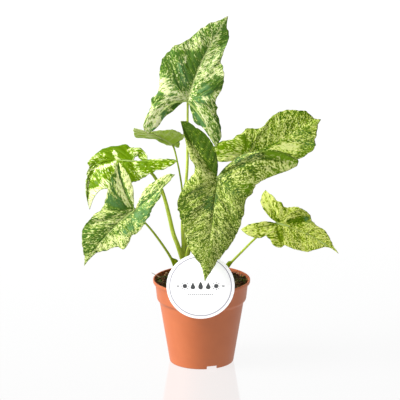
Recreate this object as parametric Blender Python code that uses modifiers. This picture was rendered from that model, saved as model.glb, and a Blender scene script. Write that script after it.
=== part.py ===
# Arrowhead plant in a nursery pot: seven arrow-shaped leaves on long stalks, soil, pot and a round tag.
# The origin is on the floor, under the middle of the plant's whole outline. +Z is up and the tag is on the -Y side.
import bpy
import bmesh
import math
import numpy as np
from mathutils import Matrix, Vector
from mathutils.bvhtree import BVHTree

mm = 0.001

# Where the pot stands: the leaves reach further one way than the other, so its axis is off the origin
pot_axis = (-10.8 * mm, 8.7 * mm)

# Pot, from its outer sizes
rim_diameter = 120 * mm
pot_height = 105 * mm
foot_diameter = 78.8 * mm
pot_wall = 1.1 * mm
lip_height = 4 * mm
collar_bottom = 80 * mm
collar_step = 3 * mm
floor_height = 4.6 * mm
foot_notch_width = 13.5 * mm
foot_notch_height = 4.0 * mm
foot_notch_angle = 19
drain_hole_diameter = 9 * mm
drain_hole_ring = 24 * mm
pot_sides = 48

# Soil and the gap between neighbouring pieces
soil_depth_below_rim = 4 * mm
soil_bottom = 12 * mm
fit_gap = 0.35 * mm

# Tag
tag_diameter = 82.6 * mm
tag_thickness = 0.8 * mm
tag_height = 113.3 * mm
tag_across = -1.3 * mm
tag_lean = 1.1
stake_width = 10 * mm
stake_thickness = 0.9 * mm
stake_bottom = 66 * mm
stake_y = -46 * mm
lean = math.radians(tag_lean)

# Leaves and stalks
blade_thickness = 0.7 * mm
blade_rows = 5
lobe_steps = 7
side_steps = 14
stalk_sides_resolution = 2
stalk_steps = 15
seat_step = 0.05 * mm
ring_angles = [math.pi / 4 * k for k in range(8)]

# The plant is laid out in a front picture, 400 pixels square, seen from a long way off and a little above.
# A landmark is pixels right, pixels down and millimetres lifted off the leaf's own plane, towards the viewer.
picture_middle = 200
picture_scale = 816.7
picture_distance = 3.5
picture_pitch = math.radians(14.9)
picture_target = np.array([-0.0020, 0.0, 0.2053])

leaves = {
    "leaf_top": {
        "joint": (187.7, 101), "depth": 5, "lean_right": 0.0, "lean_up": 0.23,
        "inner_1": [(183, 101.6, 0), (177.7, 106, 1), (172.5, 111.5, 2), (164.5, 117, 3), (159, 125, 5),
                    (153, 130.8, 6)],
        "lobe_1": (148.2, 133.7, 6),
        "outer_1": [(144.5, 130.5, 7), (143.2, 124, 8), (146.8, 115.5, 8), (151, 106, 7), (152, 98.2, 6),
                    (158.8, 91, 5), (159, 77, 5), (161, 64, 6), (166, 54, 6), (174, 46.5, 6), (185, 41.4, 5),
                    (193.6, 35, 4), (206, 25.2, 3), (217, 21.2, 2)],
        "tip": (228.2, 15.8, 0),
        "outer_2": [(227, 25, 1), (229.1, 37, 5), (224.5, 50, 10), (221.4, 60.5, 13), (224.2, 75, 16),
                    (222.3, 88.6, 15), (216.2, 100, 11), (218.2, 117, 8), (221.6, 133, 6)],
        "lobe_2": (216.5, 148, 4),
        "inner_2": [(209, 136.4, 4), (202.7, 127.7, 3), (194.5, 122.3, 2), (192.7, 115, 1), (190, 106, 0)],
        "bends": [(-3, -9, 5), (-1, 1, 5), (-4, -1, 6), (1, 1, 5), (2, -3, 4)],
        "waves": (1.2, 5),
    },
    "leaf_front": {
        "joint": (217, 178), "depth": -50, "lean_right": 0.08, "lean_up": 0.25,
        "inner_1": [(215.7, 171, 2), (217.6, 162, 6), (214.5, 147.5, 10), (205.5, 134, 9), (194.5, 126, 5),
                    (187.5, 121.4, 2)],
        "lobe_1": (180.4, 121, 0),
        "outer_1": [(182.5, 129.5, 2), (186, 144.5, 5), (190.5, 158.5, 6), (194.8, 166.5, 6), (195, 171.5, 5),
                    (189.5, 178.5, 5), (182.5, 188.5, 6), (177.4, 204, 7), (180.8, 219.5, 6), (183.5, 230, 5),
                    (187, 244, 4), (192, 253, 3), (200.3, 264.5, 2), (203.5, 274, 1)],
        "tip": (204.7, 282, 0),
        "outer_2": [(207.5, 276.5, 1), (213, 268, 2), (220, 258, 3), (233, 241, 5), (240.6, 224.5, 7),
                    (244.8, 209, 9), (245, 200.5, 9), (252, 193.7, 8), (255.8, 185.5, 8), (264.5, 179.5, 6),
                    (275.5, 175, 4), (288, 170.6, 2)],
        "lobe_2": (297, 166, 0),
        "inner_2": [(298.3, 160, 3), (290, 155, 8), (280, 151.3, 10), (266, 152.3, 6), (251, 153, 2),
                    (240, 155.8, 0), (234, 161.5, 0), (228, 165.5, 0), (222.5, 174, 0)],
        "bends": [(-2, 1, 2), (0, 0, 5), (0, 2, 8), (1, 0, 6), (1.5, -12, 5)],
        "waves": (1.2, 5),
    },
    "leaf_right_back": {
        "joint": (246, 156), "depth": 25, "lean_right": 0.1, "lean_up": 0.6,
        "inner_1": [(240, 159, 0), (234.5, 160.5, 0), (226, 161.7, 1), (218, 161, 2)],
        "lobe_1": (209, 155, 2),
        "outer_1": [(211, 149, 3), (221, 141.5, 4), (230.5, 139.5, 3), (239.5, 134.5, 2), (247.5, 128.5, 2),
                    (257.5, 128.7, 3), (265.5, 125.5, 3), (270.5, 118, 3), (277.5, 112.5, 3), (288, 110.3, 2),
                    (299.5, 110.3, 1), (307, 112.2, 0), (314.4, 118.4, -1)],
        "tip": (321, 119.5, 0),
        "outer_2": [(317.5, 126.5, 2), (315.7, 139.5, 5), (313.5, 149.5, 8), (304.5, 156, 10), (297, 160, 10),
                    (284, 164, 9), (268, 171, 8), (256, 181, 7)],
        "lobe_2": (242, 192, 5),
        "inner_2": [(240, 182, 3), (242, 171, 1)],
        "bends": [(0, -1, 3), (0, -2, 5), (0, 1, 7), (0, 2, 6), (0, 0, 3)],
        "waves": (1.0, 4),
    },
    "leaf_right_small": {
        "joint": (277.4, 223.2), "depth": -20, "lean_right": 0.0, "lean_up": 0.5,
        "inner_1": [(271.6, 223, 0), (265.2, 221.2, 1), (257.4, 222.7, 1), (249.5, 224.5, 1), (244, 227.2, 0)],
        "lobe_1": (241, 229.5, 0),
        "outer_1": [(245.2, 233.4, 1), (253.8, 237.4, 2), (261, 237.6, 3), (265.6, 236.2, 3), (270.2, 240, 4),
                    (275, 246, 5), (281.3, 247.4, 5), (285, 245.4, 5), (291.6, 248, 5), (298.8, 250.2, 5),
                    (307.4, 251.8, 4), (315, 249.8, 3), (325, 247.2, 2), (332.7, 249, 1)],
        "tip": (338.8, 253.6, 0),
        "outer_2": [(334.5, 247.4, 1), (327.4, 233.8, 3), (323, 229.2, 4), (318.4, 227, 4), (312.4, 221.6, 5),
                    (310.2, 215.2, 5), (304.5, 210.2, 5), (295, 206.8, 4), (285.6, 207, 4), (276, 198.8, 3),
                    (269.5, 193.5, 2)],
        "lobe_2": (265.6, 190, 0),
        "inner_2": [(262, 195, 0), (260.6, 202, 0), (265.2, 211.6, 0), (271, 217.4, 0), (275.3, 220.6, 0)],
        "bends": [(0, 1, 3), (0, 2, 4), (-1, -4, 5), (0, -2, 4), (0, 0, 2)],
        "waves": (0.8, 4),
    },
    "leaf_left_front": {
        "joint": (134.5, 210.3), "depth": -34, "lean_right": 0.0, "lean_up": 0.4,
        "inner_1": [(132.8, 206.5, 0), (132, 203, 0), (133.7, 193, 1), (132, 183.7, 2), (127.8, 173.7, 2),
                    (122, 165, 1)],
        "lobe_1": (118.7, 160.8, 0),
        "outer_1": [(114.5, 170, 3), (110.3, 179.5, 6), (107.4, 191, 8), (105.3, 201, 8), (101.2, 209, 7),
                    (94.5, 214.6, 6), (89, 220.3, 6), (84.6, 226, 5), (81.2, 235, 5), (82, 244.5, 4),
                    (84.6, 257, 2)],
        "tip": (84.1, 266.2, 0),
        "outer_2": [(89.5, 259.3, 1), (97, 252.8, 2), (107, 250.3, 4), (115.3, 247.2, 5), (122.8, 249, 6),
                    (128.7, 243.7, 7), (131.6, 235.6, 7), (139.3, 231.4, 7), (147.8, 218.7, 8),
                    (155.2, 203.8, 7), (160.3, 198.2, 5), (162.8, 187, 3), (167.8, 181.8, 2)],
        "lobe_2": (175.3, 174.5, 0),
        "inner_2": [(167, 174.3, 0), (158.7, 178.7, 0), (146.5, 187, 0), (141, 196, 0), (138.5, 204.8, 0)],
        "bends": [(-3, 0, 1), (0, 1, 3), (-1, -4, 4), (0, 1, 3), (1, 1, 2)],
        "waves": (1.0, 4),
    },
    "leaf_left_back": {
        "joint": (133.2, 161.6), "depth": 10, "lean_right": 0.0, "lean_up": 1.3,
        "inner_1": [(134.4, 158, 0), (136.6, 154.4, 0), (139.2, 157.2, -1), (141.8, 160, -2)],
        "lobe_1": (147.8, 160.2, -2),
        "outer_1": [(147, 156, 1), (145, 152, 2), (142, 149.9, 2), (137, 150.2, 1), (131.5, 149.2, 0),
                    (126.2, 145.6, 0), (116.2, 147.2, 0), (105.3, 149, -1), (96, 154.3, -3), (88.7, 161.6, -4),
                    (88, 169.5, -9), (87, 180.3, -18), (85.6, 192, -28), (87.4, 202, -39)],
        "tip": (89.8, 209.9, -47),
        "outer_2": [(91.9, 203, -39), (95, 196.5, -30), (101, 190, -20), (110, 188.3, -16), (122, 185.5, -12),
                    (132, 182.6, -10), (140.3, 180, -9), (148, 174.5, -4), (157, 170.9, 1), (167, 168.2, 2)],
        "lobe_2": (177.5, 161.6, 2),
        "inner_2": [(173, 159.6, 1), (157.8, 159.5, 0), (142, 160.4, 0)],
        "bends": [(-1.5, -6.5, 2), (-6, -6, 2), (-16, -15, 13), (-6, -6, 5), (0, -1, 2)],
        "waves": (1.0, 4),
    },
    "leaf_small": {
        "joint": (173, 144.6), "depth": 24, "lean_right": -0.15, "lean_up": -1.6,
        "inner_1": [(175, 146.4, 0), (177, 147.9, 0)],
        "lobe_1": (179.3, 147.6, 0),
        "outer_1": [(179.7, 144, 0), (180, 140.9, 0), (184, 139, 0), (182.6, 134.8, 0), (178.5, 132, 0),
                    (172.5, 129.7, 0), (164.5, 130.3, 0), (155.5, 131.3, 0), (148, 132.6, 0), (141, 130.6, 0)],
        "tip": (133.8, 128, 0),
        "outer_2": [(133.6, 131.6, 0), (135.6, 137.6, 0), (144.5, 138, 0), (154, 138.8, 0), (160, 142.2, 0)],
        "lobe_2": (166, 144.6, 0),
        "inner_2": [(169.5, 145, 0)],
        "bends": [(0, 0, 1), (0, 0, 2), (0, -2, 3), (0, -2.4, 2), (0, 0, 1)],
        "waves": (0.5, 3),
    },
}

# Each stalk: pixels right, pixels down and depth in millimetres, from just under its blade down to its foot
stalks = {
    "leaf_top": [(187.6, 112, 8), (187.5, 130, 9), (187.5, 152, 8), (187, 170, 7), (184.6, 198, 5),
                 (182.6, 222, 3), (183.2, 243, 2)],
    "leaf_front": [(215.5, 188, -38), (208, 207, -25), (198, 228, -12), (189.5, 245, -5), (186.8, 254, -3)],
    "leaf_right_back": [(243.5, 165, 24), (232, 190, 17), (213, 220, 10), (196, 241, 6), (188.8, 252, 4)],
    "leaf_left_back": [(142, 166, 14), (151.2, 172.8, 12), (156.3, 179.5, 10), (160.8, 187.4, 8),
                       (165.2, 200.3, 5), (169.2, 216, 2), (173.4, 233.7, -1), (178.4, 247, -2)],
    "leaf_small": [(175, 151.5, 22), (177.5, 162.5, 19), (179.8, 174, 16), (182, 189, 13), (184.6, 215, 10),
                   (186, 240, 7)],
    "leaf_right_small": [(268, 229.8, -12), (256, 237.8, -8), (241.3, 252.2, -2), (232, 261.6, 1),
                         (227.3, 267.5, 3)],
    "leaf_left_front": [(139.8, 217.5, -27), (148.6, 226.6, -21), (156.9, 237, -16), (165.2, 248.7, -10),
                        (171, 258, -5), (174.6, 266, -1)],
}

# Radius of each stalk in millimetres: under the blade, and at the foot
stalk_radii = {
    "leaf_top": (1.2, 2.2), "leaf_front": (1.3, 2.1), "leaf_right_back": (1.2, 2.0), "leaf_left_back": (1.5, 3.7),
    "leaf_small": (0.9, 1.7), "leaf_right_small": (1.1, 1.8), "leaf_left_front": (1.1, 1.9),
}

# The crowns that the stalks rise from: place on the soil, radius and height of the sheathed part, in millimetres
crowns = {
    "stalks_centre": {
        "at": (-20.5, 1.5), "radius": 6.6, "top_radius": 5.2, "top": 120, "sides": 16,
        "stalks": ["leaf_top", "leaf_front", "leaf_right_back", "leaf_left_back", "leaf_small"],
    },
    "stalk_right": {
        "at": (24, 5), "radius": 3.4, "top_radius": 2.4, "top": 110, "sides": 12,
        "stalks": ["leaf_right_small"],
    },
    "stalk_left": {
        "at": (-31.5, 4), "radius": 3.4, "top_radius": 2.4, "top": 112, "sides": 12,
        "stalks": ["leaf_left_front"],
    },
}
crown_bottom = 74 * mm

# Materials: colour, roughness
finishes = {
    "pot": ((0.62, 0.25, 0.14), 0.45),
    "soil": ((0.06, 0.04, 0.03), 0.95),
    "tag": ((0.93, 0.93, 0.92), 0.4),
    "stalk": ((0.30, 0.45, 0.12), 0.4),
    "leaf": ((0.36, 0.50, 0.16), 0.38),
}


def clear_scene():
    for thing in list(bpy.data.objects):
        bpy.data.objects.remove(thing, do_unlink=True)


def new_collection(name):
    group = bpy.data.collections.new(name)
    bpy.context.scene.collection.children.link(group)
    return group


def new_material(name, finish):
    colour, roughness = finishes[finish]
    material = bpy.data.materials.new(name)
    material.use_nodes = True
    shader = material.node_tree.nodes["Principled BSDF"]
    shader.inputs["Base Color"].default_value = (*colour, 1)
    shader.inputs["Roughness"].default_value = roughness
    shader.inputs["Metallic"].default_value = 0.0
    return material


def new_object(name, mesh, group, finish):
    thing = bpy.data.objects.new(name, mesh)
    group.objects.link(thing)
    if finish:
        mesh.materials.append(new_material(name, finish))
    return thing


def mesh_from(bm, name):
    mesh = bpy.data.meshes.new(name)
    bm.to_mesh(mesh)
    bm.free()
    return mesh


def round_shading(thing, angle=35):
    thing.data.shade_smooth()
    thing.data.set_sharp_from_angle(angle=math.radians(angle))


def cut(target, cutter, solver="EXACT"):
    boolean = target.modifiers.new("cut_" + cutter.name, "BOOLEAN")
    boolean.operation = "DIFFERENCE"
    boolean.object = cutter
    boolean.solver = solver


def as_cutter(thing):
    thing.hide_render = True
    thing.display_type = "WIRE"


def profile_object(name, points, group, finish, sides):
    """Turned piece: a profile of (radius, height) at +X, swept round Z by a Screw modifier."""
    bm = bmesh.new()
    verts = [bm.verts.new((radius, 0, height)) for radius, height in points]
    for upper, lower in zip(verts, verts[1:]):
        bm.edges.new((upper, lower))
    thing = new_object(name, mesh_from(bm, name), group, finish)
    screw = thing.modifiers.new("turn", "SCREW")
    screw.steps = sides
    screw.render_steps = sides
    screw.use_merge_vertices = True
    screw.merge_threshold = 0.00005
    return thing


def stand_on_pot_axis(group):
    """Parents every piece to an empty at the foot of the pot's axis."""
    axis = bpy.data.objects.new("pot_axis", None)
    axis.location = (*pot_axis, 0)
    group.objects.link(axis)
    for thing in list(group.objects):
        if thing.type == "MESH":
            thing.parent = axis


def freeze(thing):
    """Gives an object its evaluated mesh, with nothing left to evaluate."""
    depsgraph = bpy.context.evaluated_depsgraph_get()
    mesh = bpy.data.meshes.new_from_object(thing.evaluated_get(depsgraph))
    thing.modifiers.clear()
    old = thing.data
    thing.data = mesh
    if isinstance(old, bpy.types.Mesh):
        bpy.data.meshes.remove(old)


# Front picture

def seen(right, down, depth):
    """World points that the front picture shows at these pixels, at these depths along +Y (metres)."""
    ahead = np.array([0, math.cos(picture_pitch), -math.sin(picture_pitch)])
    up = np.array([0, math.sin(picture_pitch), math.cos(picture_pitch)])
    across = np.array([1.0, 0, 0])
    eye = picture_target - ahead * picture_distance
    focal = picture_scale * picture_distance
    right, down, depth = (np.asarray(value, float)[..., None] for value in (right, down, depth))
    ray = ahead + across * (right - picture_middle) / focal + up * (picture_middle - down) / focal
    return eye + ray * (depth - eye[1]) / ray[..., 1:2]


def smooth_path(points, steps):
    """Even steps along a Catmull-Rom curve through hand-set points."""
    hand_set = np.array(points, float)
    padded = np.vstack([2 * hand_set[0] - hand_set[1], hand_set, 2 * hand_set[-1] - hand_set[-2]])
    t = np.linspace(0, 1, 12, endpoint=False)[:, None]
    spans = []
    for a, b, c, d in zip(padded, padded[1:], padded[2:], padded[3:]):
        spans.append(0.5 * (2 * b + (c - a) * t + (2 * a - 5 * b + 4 * c - d) * t**2
                            + (3 * b - a - 3 * c + d) * t**3))
    fine = np.vstack(spans + [hand_set[-1:]])
    walked = np.concatenate([[0], np.cumsum(np.linalg.norm(np.diff(fine, axis=0), axis=1))])
    stops = np.linspace(0, walked[-1], steps + 1)
    return np.column_stack([np.interp(stops, walked, fine[:, k]) for k in range(hand_set.shape[1])])


# Leaf blades

def blade_margin(leaf):
    """The blade's edge from its sinus round both lobes and the tip, and where along it each part ends."""
    joint = (*leaf["joint"], 0)
    wave_height, wave_count = leaf["waves"]
    parts = [
        ([joint, *leaf["inner_1"], leaf["lobe_1"]], lobe_steps, 0),
        ([leaf["lobe_1"], *leaf["outer_1"], leaf["tip"]], side_steps, wave_height),
        ([leaf["tip"], *leaf["outer_2"], leaf["lobe_2"]], side_steps, wave_height),
        ([leaf["lobe_2"], *leaf["inner_2"], joint], lobe_steps, 0),
    ]
    margin = [np.array([joint])]
    for points, steps, height in parts:
        stretch = smooth_path(points, steps)
        along = np.linspace(0, 1, steps + 1)
        stretch[:, 2] += height * np.sin(along * math.pi * 2 * wave_count) * np.sin(along * math.pi)
        margin.append(stretch[1:])
    return np.vstack(margin)


def blade_bends(leaf, count):
    """How far each ray from the joint bows at its middle: at the two lobe ribs, the midrib and the halves."""
    ends = [0, lobe_steps, lobe_steps + side_steps / 2, lobe_steps + side_steps,
            lobe_steps + side_steps * 1.5, lobe_steps + side_steps * 2, count - 1]
    values = np.array([(0, 0, 0), *leaf["bends"], (0, 0, 0)], float)
    places = np.arange(count)
    span = np.clip(np.searchsorted(ends, places, side="right") - 1, 0, len(ends) - 2)
    starts = np.array(ends)[span]
    share = (places - starts) / (np.array(ends)[span + 1] - starts)
    ease = (0.5 - 0.5 * np.cos(math.pi * share))[:, None]
    return values[span] * (1 - ease) + values[span + 1] * ease


def blade_surface(leaf, rows):
    """World points of the blade's middle surface, one row per step from the joint out to the margin."""
    margin = blade_margin(leaf)
    bends = blade_bends(leaf, len(margin))
    joint = np.array([*leaf["joint"], 0.0])
    out = np.linspace(0, 1, rows + 1)[:, None, None]
    laid = joint + out * (margin - joint) + 4 * out * (1 - out) * bends
    right, down, lift = laid[..., 0], laid[..., 1], laid[..., 2]
    depth = leaf["depth"] + leaf["lean_right"] * (right - joint[0]) + leaf["lean_up"] * (joint[1] - down) - lift
    return seen(right, down, depth * mm)[:, 1:-1]


def blade_sheet(leaf):
    """The blade's middle surface as a bmesh of triangles."""
    surface = blade_surface(leaf, blade_rows)
    columns = surface.shape[1] - 1
    bm = bmesh.new()
    bmesh.ops.create_grid(bm, x_segments=columns, y_segments=blade_rows, size=1)
    for vert in bm.verts:
        column = round((vert.co.x + 1) / 2 * columns)
        row = round((vert.co.y + 1) / 2 * blade_rows)
        vert.co = surface[row, column]
    bmesh.ops.remove_doubles(bm, verts=bm.verts, dist=0.00001)
    bmesh.ops.triangulate(bm, faces=bm.faces)
    return bm


def make_blade(name, leaf, group):
    blade = new_object(name, mesh_from(blade_sheet(leaf), name), group, "leaf")
    solidify = blade.modifiers.new("thickness", "SOLIDIFY")
    solidify.thickness = blade_thickness
    solidify.offset = 0
    blade.data.shade_smooth()
    return blade


# Stalks

def under_side(leaf):
    """The joint, and the direction in which the blade's underside faces there."""
    surface = blade_surface(leaf, blade_rows)
    joint = surface[0, 0]
    ribs = surface[1, [lobe_steps, lobe_steps + side_steps, lobe_steps + 2 * side_steps]] - joint
    under = np.cross(ribs[0], ribs[1]) + np.cross(ribs[1], ribs[2])
    return joint, under / np.linalg.norm(under)


def seat_under(leaf, next_point, radius):
    """Where a stalk's end stops under its blade: as near as the fit gap lets its end ring come."""
    joint, under = under_side(leaf)
    if under @ (next_point - joint) < 0:
        under = -under
    sheet = blade_sheet(leaf)
    tree = BVHTree.FromBMesh(sheet)
    sheet.free()
    for step in range(80):
        centre = joint + under * step * seat_step
        turn = Vector(next_point - centre).to_track_quat("Z", "Y")
        ring = [turn @ Vector((radius * math.cos(a), radius * math.sin(a), 0)) for a in ring_angles]
        nearest = min(tree.find_nearest(Vector(centre) + offset)[3] for offset in ring)
        if nearest >= blade_thickness / 2 + fit_gap:
            return centre
    raise ValueError("no seat under the blade")


def stalk_path(name):
    """Route of one stalk in the world, from just under its blade's joint down into its crown."""
    route = [seen(right, down, depth * mm) for right, down, depth in stalks[name]]
    return [seat_under(leaves[name], route[0], stalk_radii[name][0] * mm), *route]


def stalk_tube(name, foot, group):
    """One stalk as a tapered tube, made a mesh with its end caps welded."""
    top_radius, foot_radius = stalk_radii[name]
    points = smooth_path([*stalk_path(name), *foot], stalk_steps)
    curve = bpy.data.curves.new("tube_" + name, "CURVE")
    curve.dimensions = "3D"
    curve.bevel_depth = mm
    curve.bevel_resolution = stalk_sides_resolution
    curve.use_fill_caps = True
    spline = curve.splines.new("POLY")
    spline.points.add(len(points) - 1)
    for k, place in enumerate(points):
        share = k / (len(points) - 1)
        spline.points[k].co = (*place, 1)
        spline.points[k].radius = top_radius + (foot_radius - top_radius) * share
    guide = bpy.data.objects.new("tube_" + name, curve)
    group.objects.link(guide)
    depsgraph = bpy.context.evaluated_depsgraph_get()
    mesh = bpy.data.meshes.new_from_object(guide.evaluated_get(depsgraph))
    bm = bmesh.new()
    bm.from_mesh(mesh)
    bmesh.ops.remove_doubles(bm, verts=bm.verts, dist=0.00001)
    bm.to_mesh(mesh)
    bm.free()
    tube = bpy.data.objects.new("part_" + name, mesh)
    tube.matrix_world = guide.matrix_world
    group.objects.link(tube)
    bpy.data.objects.remove(guide, do_unlink=True)
    return tube


def crown_body(name, crown, group, radius_gap=0.0, drop=0.0, finish="stalk"):
    """Sheathed foot of a plantlet: a straight part in the soil, tapering to a rounded top."""
    radius = crown["radius"] * mm + radius_gap
    top_radius = crown["top_radius"] * mm + radius_gap
    top = crown["top"] * mm
    soil_top = pot_height - soil_depth_below_rim
    points = [(0, top), (top_radius * 0.7, top - 0.8 * mm), (top_radius, top - 2.5 * mm),
              ((radius + top_radius) / 2, (top + soil_top) / 2 + 2 * mm), (radius, soil_top + 2.5 * mm),
              (radius, crown_bottom - drop), (0, crown_bottom - drop)]
    body = profile_object(name, points, group, finish, crown["sides"])
    body.location = (crown["at"][0] * mm, crown["at"][1] * mm, 0)
    return body


def make_stalks(name, crown, group):
    """A plantlet's stalks and crown, joined in one Boolean union."""
    pieces = new_collection("join_" + name)
    x, y = (value * mm for value in crown["at"])
    foot = [(x, y, crown["top"] * mm - 4 * mm), (x, y, crown_bottom + 12 * mm)]
    for leaf_name in crown["stalks"]:
        stalk_tube(leaf_name, foot, pieces)
    body = crown_body(name, crown, group)
    bpy.context.view_layer.update()
    union = body.modifiers.new("join", "BOOLEAN")
    union.operation = "UNION"
    union.operand_type = "COLLECTION"
    union.collection = pieces
    union.solver = "EXACT"
    freeze(body)
    for piece in list(pieces.objects):
        bpy.data.objects.remove(piece, do_unlink=True)
    bpy.data.collections.remove(pieces)
    round_shading(body, 50)
    return body


# Pot, soil and tag

def pot_outer_radius(height):
    """Outer radius of the tapered wall and the collar above it."""
    foot = foot_diameter / 2
    wall_top = 52 * mm
    collar_low = 55 * mm
    collar_high = 57.2 * mm
    step_bottom = collar_bottom - collar_step
    if height <= step_bottom:
        return foot + (wall_top - foot) * height / step_bottom
    if height <= collar_bottom:
        return wall_top + (collar_low - wall_top) * (height - step_bottom) / collar_step
    lip_bottom = pot_height - lip_height
    return collar_low + (collar_high - collar_low) * min(1, (height - collar_bottom) / (lip_bottom - collar_bottom))


def make_pot(group, cutters):
    rim = rim_diameter / 2
    lip_bottom = pot_height - lip_height
    corner = 1.5 * mm
    foot = foot_diameter / 2
    step_bottom = collar_bottom - collar_step
    inside = [(lip_bottom - 2 * mm, pot_wall), (collar_bottom, pot_wall), (step_bottom, pot_wall),
              (floor_height + corner, pot_wall)]
    points = [(rim - 2.2 * mm, pot_height - 0.3 * mm), (rim - 1.2 * mm, pot_height),
              (rim - 0.4 * mm, pot_height - 0.4 * mm), (rim, pot_height - 1.4 * mm),
              (rim - 0.2 * mm, lip_bottom + 0.5 * mm), (pot_outer_radius(lip_bottom) + 0.8 * mm, lip_bottom)]
    for height in (lip_bottom - 1.5 * mm, collar_bottom, step_bottom, 40 * mm, corner):
        points.append((pot_outer_radius(height), height))
    points += [(foot - 0.8 * mm, 0), (foot - 2.6 * mm, 0), (foot - 2.4 * mm, floor_height - pot_wall),
               (0, floor_height - pot_wall), (0, floor_height)]
    floor_edge = pot_outer_radius(floor_height) - pot_wall - corner
    points.append((floor_edge, floor_height))
    for height, wall in reversed(inside):
        points.append((pot_outer_radius(height) - wall, height))
    points.append(points[0])
    pot = profile_object("pot", points, group, "pot", pot_sides)
    for k in range(3):
        angle = math.radians(-90 + foot_notch_angle + 120 * k)
        notch = box_cutter(f"foot_notch_{k}", (8 * mm, foot_notch_width, foot_notch_height * 2), cutters)
        notch.location = (foot * math.cos(angle), foot * math.sin(angle), 0)
        notch.rotation_euler = (0, 0, angle)
        cut(pot, notch)
    for k in range(6):
        angle = math.radians(60 * k + 30)
        hole = round_cutter(f"drain_hole_{k}", drain_hole_diameter / 2, 6 * mm, cutters, 12)
        hole.location = (drain_hole_ring * math.cos(angle), drain_hole_ring * math.sin(angle), floor_height)
        cut(pot, hole)
    bpy.context.view_layer.update()
    freeze(pot)
    round_shading(pot)
    return pot


def box_cutter(name, size, cutters):
    bm = bmesh.new()
    bmesh.ops.create_cube(bm, size=1)
    bmesh.ops.scale(bm, vec=size, verts=bm.verts)
    cutter = new_object(name, mesh_from(bm, name), cutters, None)
    as_cutter(cutter)
    return cutter


def round_cutter(name, radius, depth, cutters, sides):
    bm = bmesh.new()
    bmesh.ops.create_cone(bm, cap_ends=True, segments=sides, radius1=radius, radius2=radius, depth=depth)
    cutter = new_object(name, mesh_from(bm, name), cutters, None)
    as_cutter(cutter)
    return cutter


def soil_height(x, y):
    """A gently uneven top, a little higher towards the middle."""
    base = pot_height - soil_depth_below_rim
    mound = 1.2 * mm * (1 - (x * x + y * y) / (rim_diameter / 2) ** 2)
    lumps = math.sin(x * 190) * math.cos(y * 160 + 0.6) + 0.6 * math.sin(x * 330 + y * 270)
    return base + mound + 0.6 * mm * lumps


def make_soil(group, cutters):
    top = pot_height - soil_depth_below_rim
    step_bottom = collar_bottom - collar_step
    gap = pot_wall + fit_gap

    def inner(height):
        return pot_outer_radius(height) - gap

    rings = (0, 0.28, 0.52, 0.76)
    edge = inner(top)
    points = [(edge * share, top) for share in rings]
    points += [(edge, top), (inner(collar_bottom), collar_bottom + 1.5 * mm),
               (inner(step_bottom) - 0.1 * mm, step_bottom), (inner(soil_bottom), soil_bottom), (0, soil_bottom)]
    soil = profile_object("soil", points, group, "soil", 36)
    bpy.context.view_layer.update()
    freeze(soil)
    for vert in soil.data.vertices:
        if vert.co.z > top - 0.1 * mm:
            vert.co.z = soil_height(vert.co.x, vert.co.y)
    for name, crown in crowns.items():
        hole = crown_body("hole_" + name, crown, cutters, fit_gap, fit_gap, None)
        bpy.context.view_layer.update()
        freeze(hole)
        as_cutter(hole)
        cut(soil, hole)
    slot = box_cutter("stake_slot", (stake_width + 2 * fit_gap, stake_thickness + 2 * fit_gap, 60 * mm), cutters)
    slot.location = (tag_across, stake_y, stake_bottom + 30 * mm - fit_gap)
    cut(soil, slot)
    bpy.context.view_layer.update()
    freeze(soil)
    round_shading(soil, 60)
    return soil


def tag_back(height):
    """Y of the disc's back face at this height: it leans outwards on the pot's lip."""
    return -(rim_diameter / 2 + fit_gap) - (height - (pot_height - 1.4 * mm)) * math.tan(lean)


def make_tag(group):
    bm = bmesh.new()
    bmesh.ops.create_cone(bm, cap_ends=True, segments=64, radius1=tag_diameter / 2, radius2=tag_diameter / 2,
                          depth=tag_thickness)
    upright = Matrix.Rotation(math.radians(90) + lean, 4, "X")
    bmesh.ops.transform(bm, matrix=upright, verts=bm.verts)
    tag = new_object("tag", mesh_from(bm, "tag"), group, "tag")
    out = tag_thickness / 2 / math.cos(lean)
    tag.location = (tag_across, tag_back(tag_height) - out, tag_height)
    round_shading(tag)
    return tag


def make_stake(group):
    """A bent strip: behind the disc, over the lip and down into the soil."""
    half = stake_thickness / 2
    over = pot_height + fit_gap + half
    behind = (fit_gap + half) / math.cos(lean)
    route = [(tag_back(124 * mm) + behind, 124 * mm), (tag_back(over) + behind, over),
             (stake_y - 2.5 * mm, over), (stake_y, over - 2.5 * mm), (stake_y, stake_bottom + half)]
    bm = bmesh.new()
    verts = [bm.verts.new((tag_across - stake_width / 2, y, z)) for y, z in route]
    edges = [bm.edges.new(pair) for pair in zip(verts, verts[1:])]
    swept = bmesh.ops.extrude_edge_only(bm, edges=edges)["geom"]
    moved = [item for item in swept if isinstance(item, bmesh.types.BMVert)]
    bmesh.ops.translate(bm, vec=(stake_width, 0, 0), verts=moved)
    stake = new_object("tag_stake", mesh_from(bm, "tag_stake"), group, "tag")
    solidify = stake.modifiers.new("thickness", "SOLIDIFY")
    solidify.thickness = stake_thickness
    solidify.offset = 0
    solidify.use_even_offset = True
    return stake


def main():
    clear_scene()
    plant = new_collection("arrowhead_plant")
    cutters = new_collection("cutters")
    make_pot(plant, cutters)
    make_soil(plant, cutters)
    make_tag(plant)
    make_stake(plant)
    for name, crown in crowns.items():
        make_stalks(name, crown, plant)
    for name, leaf in leaves.items():
        make_blade(name, leaf, plant)
    stand_on_pot_axis(plant)


main()
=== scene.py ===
# Arrowhead plant in a nursery pot: finished looks for every piece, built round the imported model.
# Metres, +Z up. The plant is laid out in the same front picture as the model's own solids.
import math
import random

import bmesh
import bpy
import numpy as np
from mathutils import Matrix, Vector, noise


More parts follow.
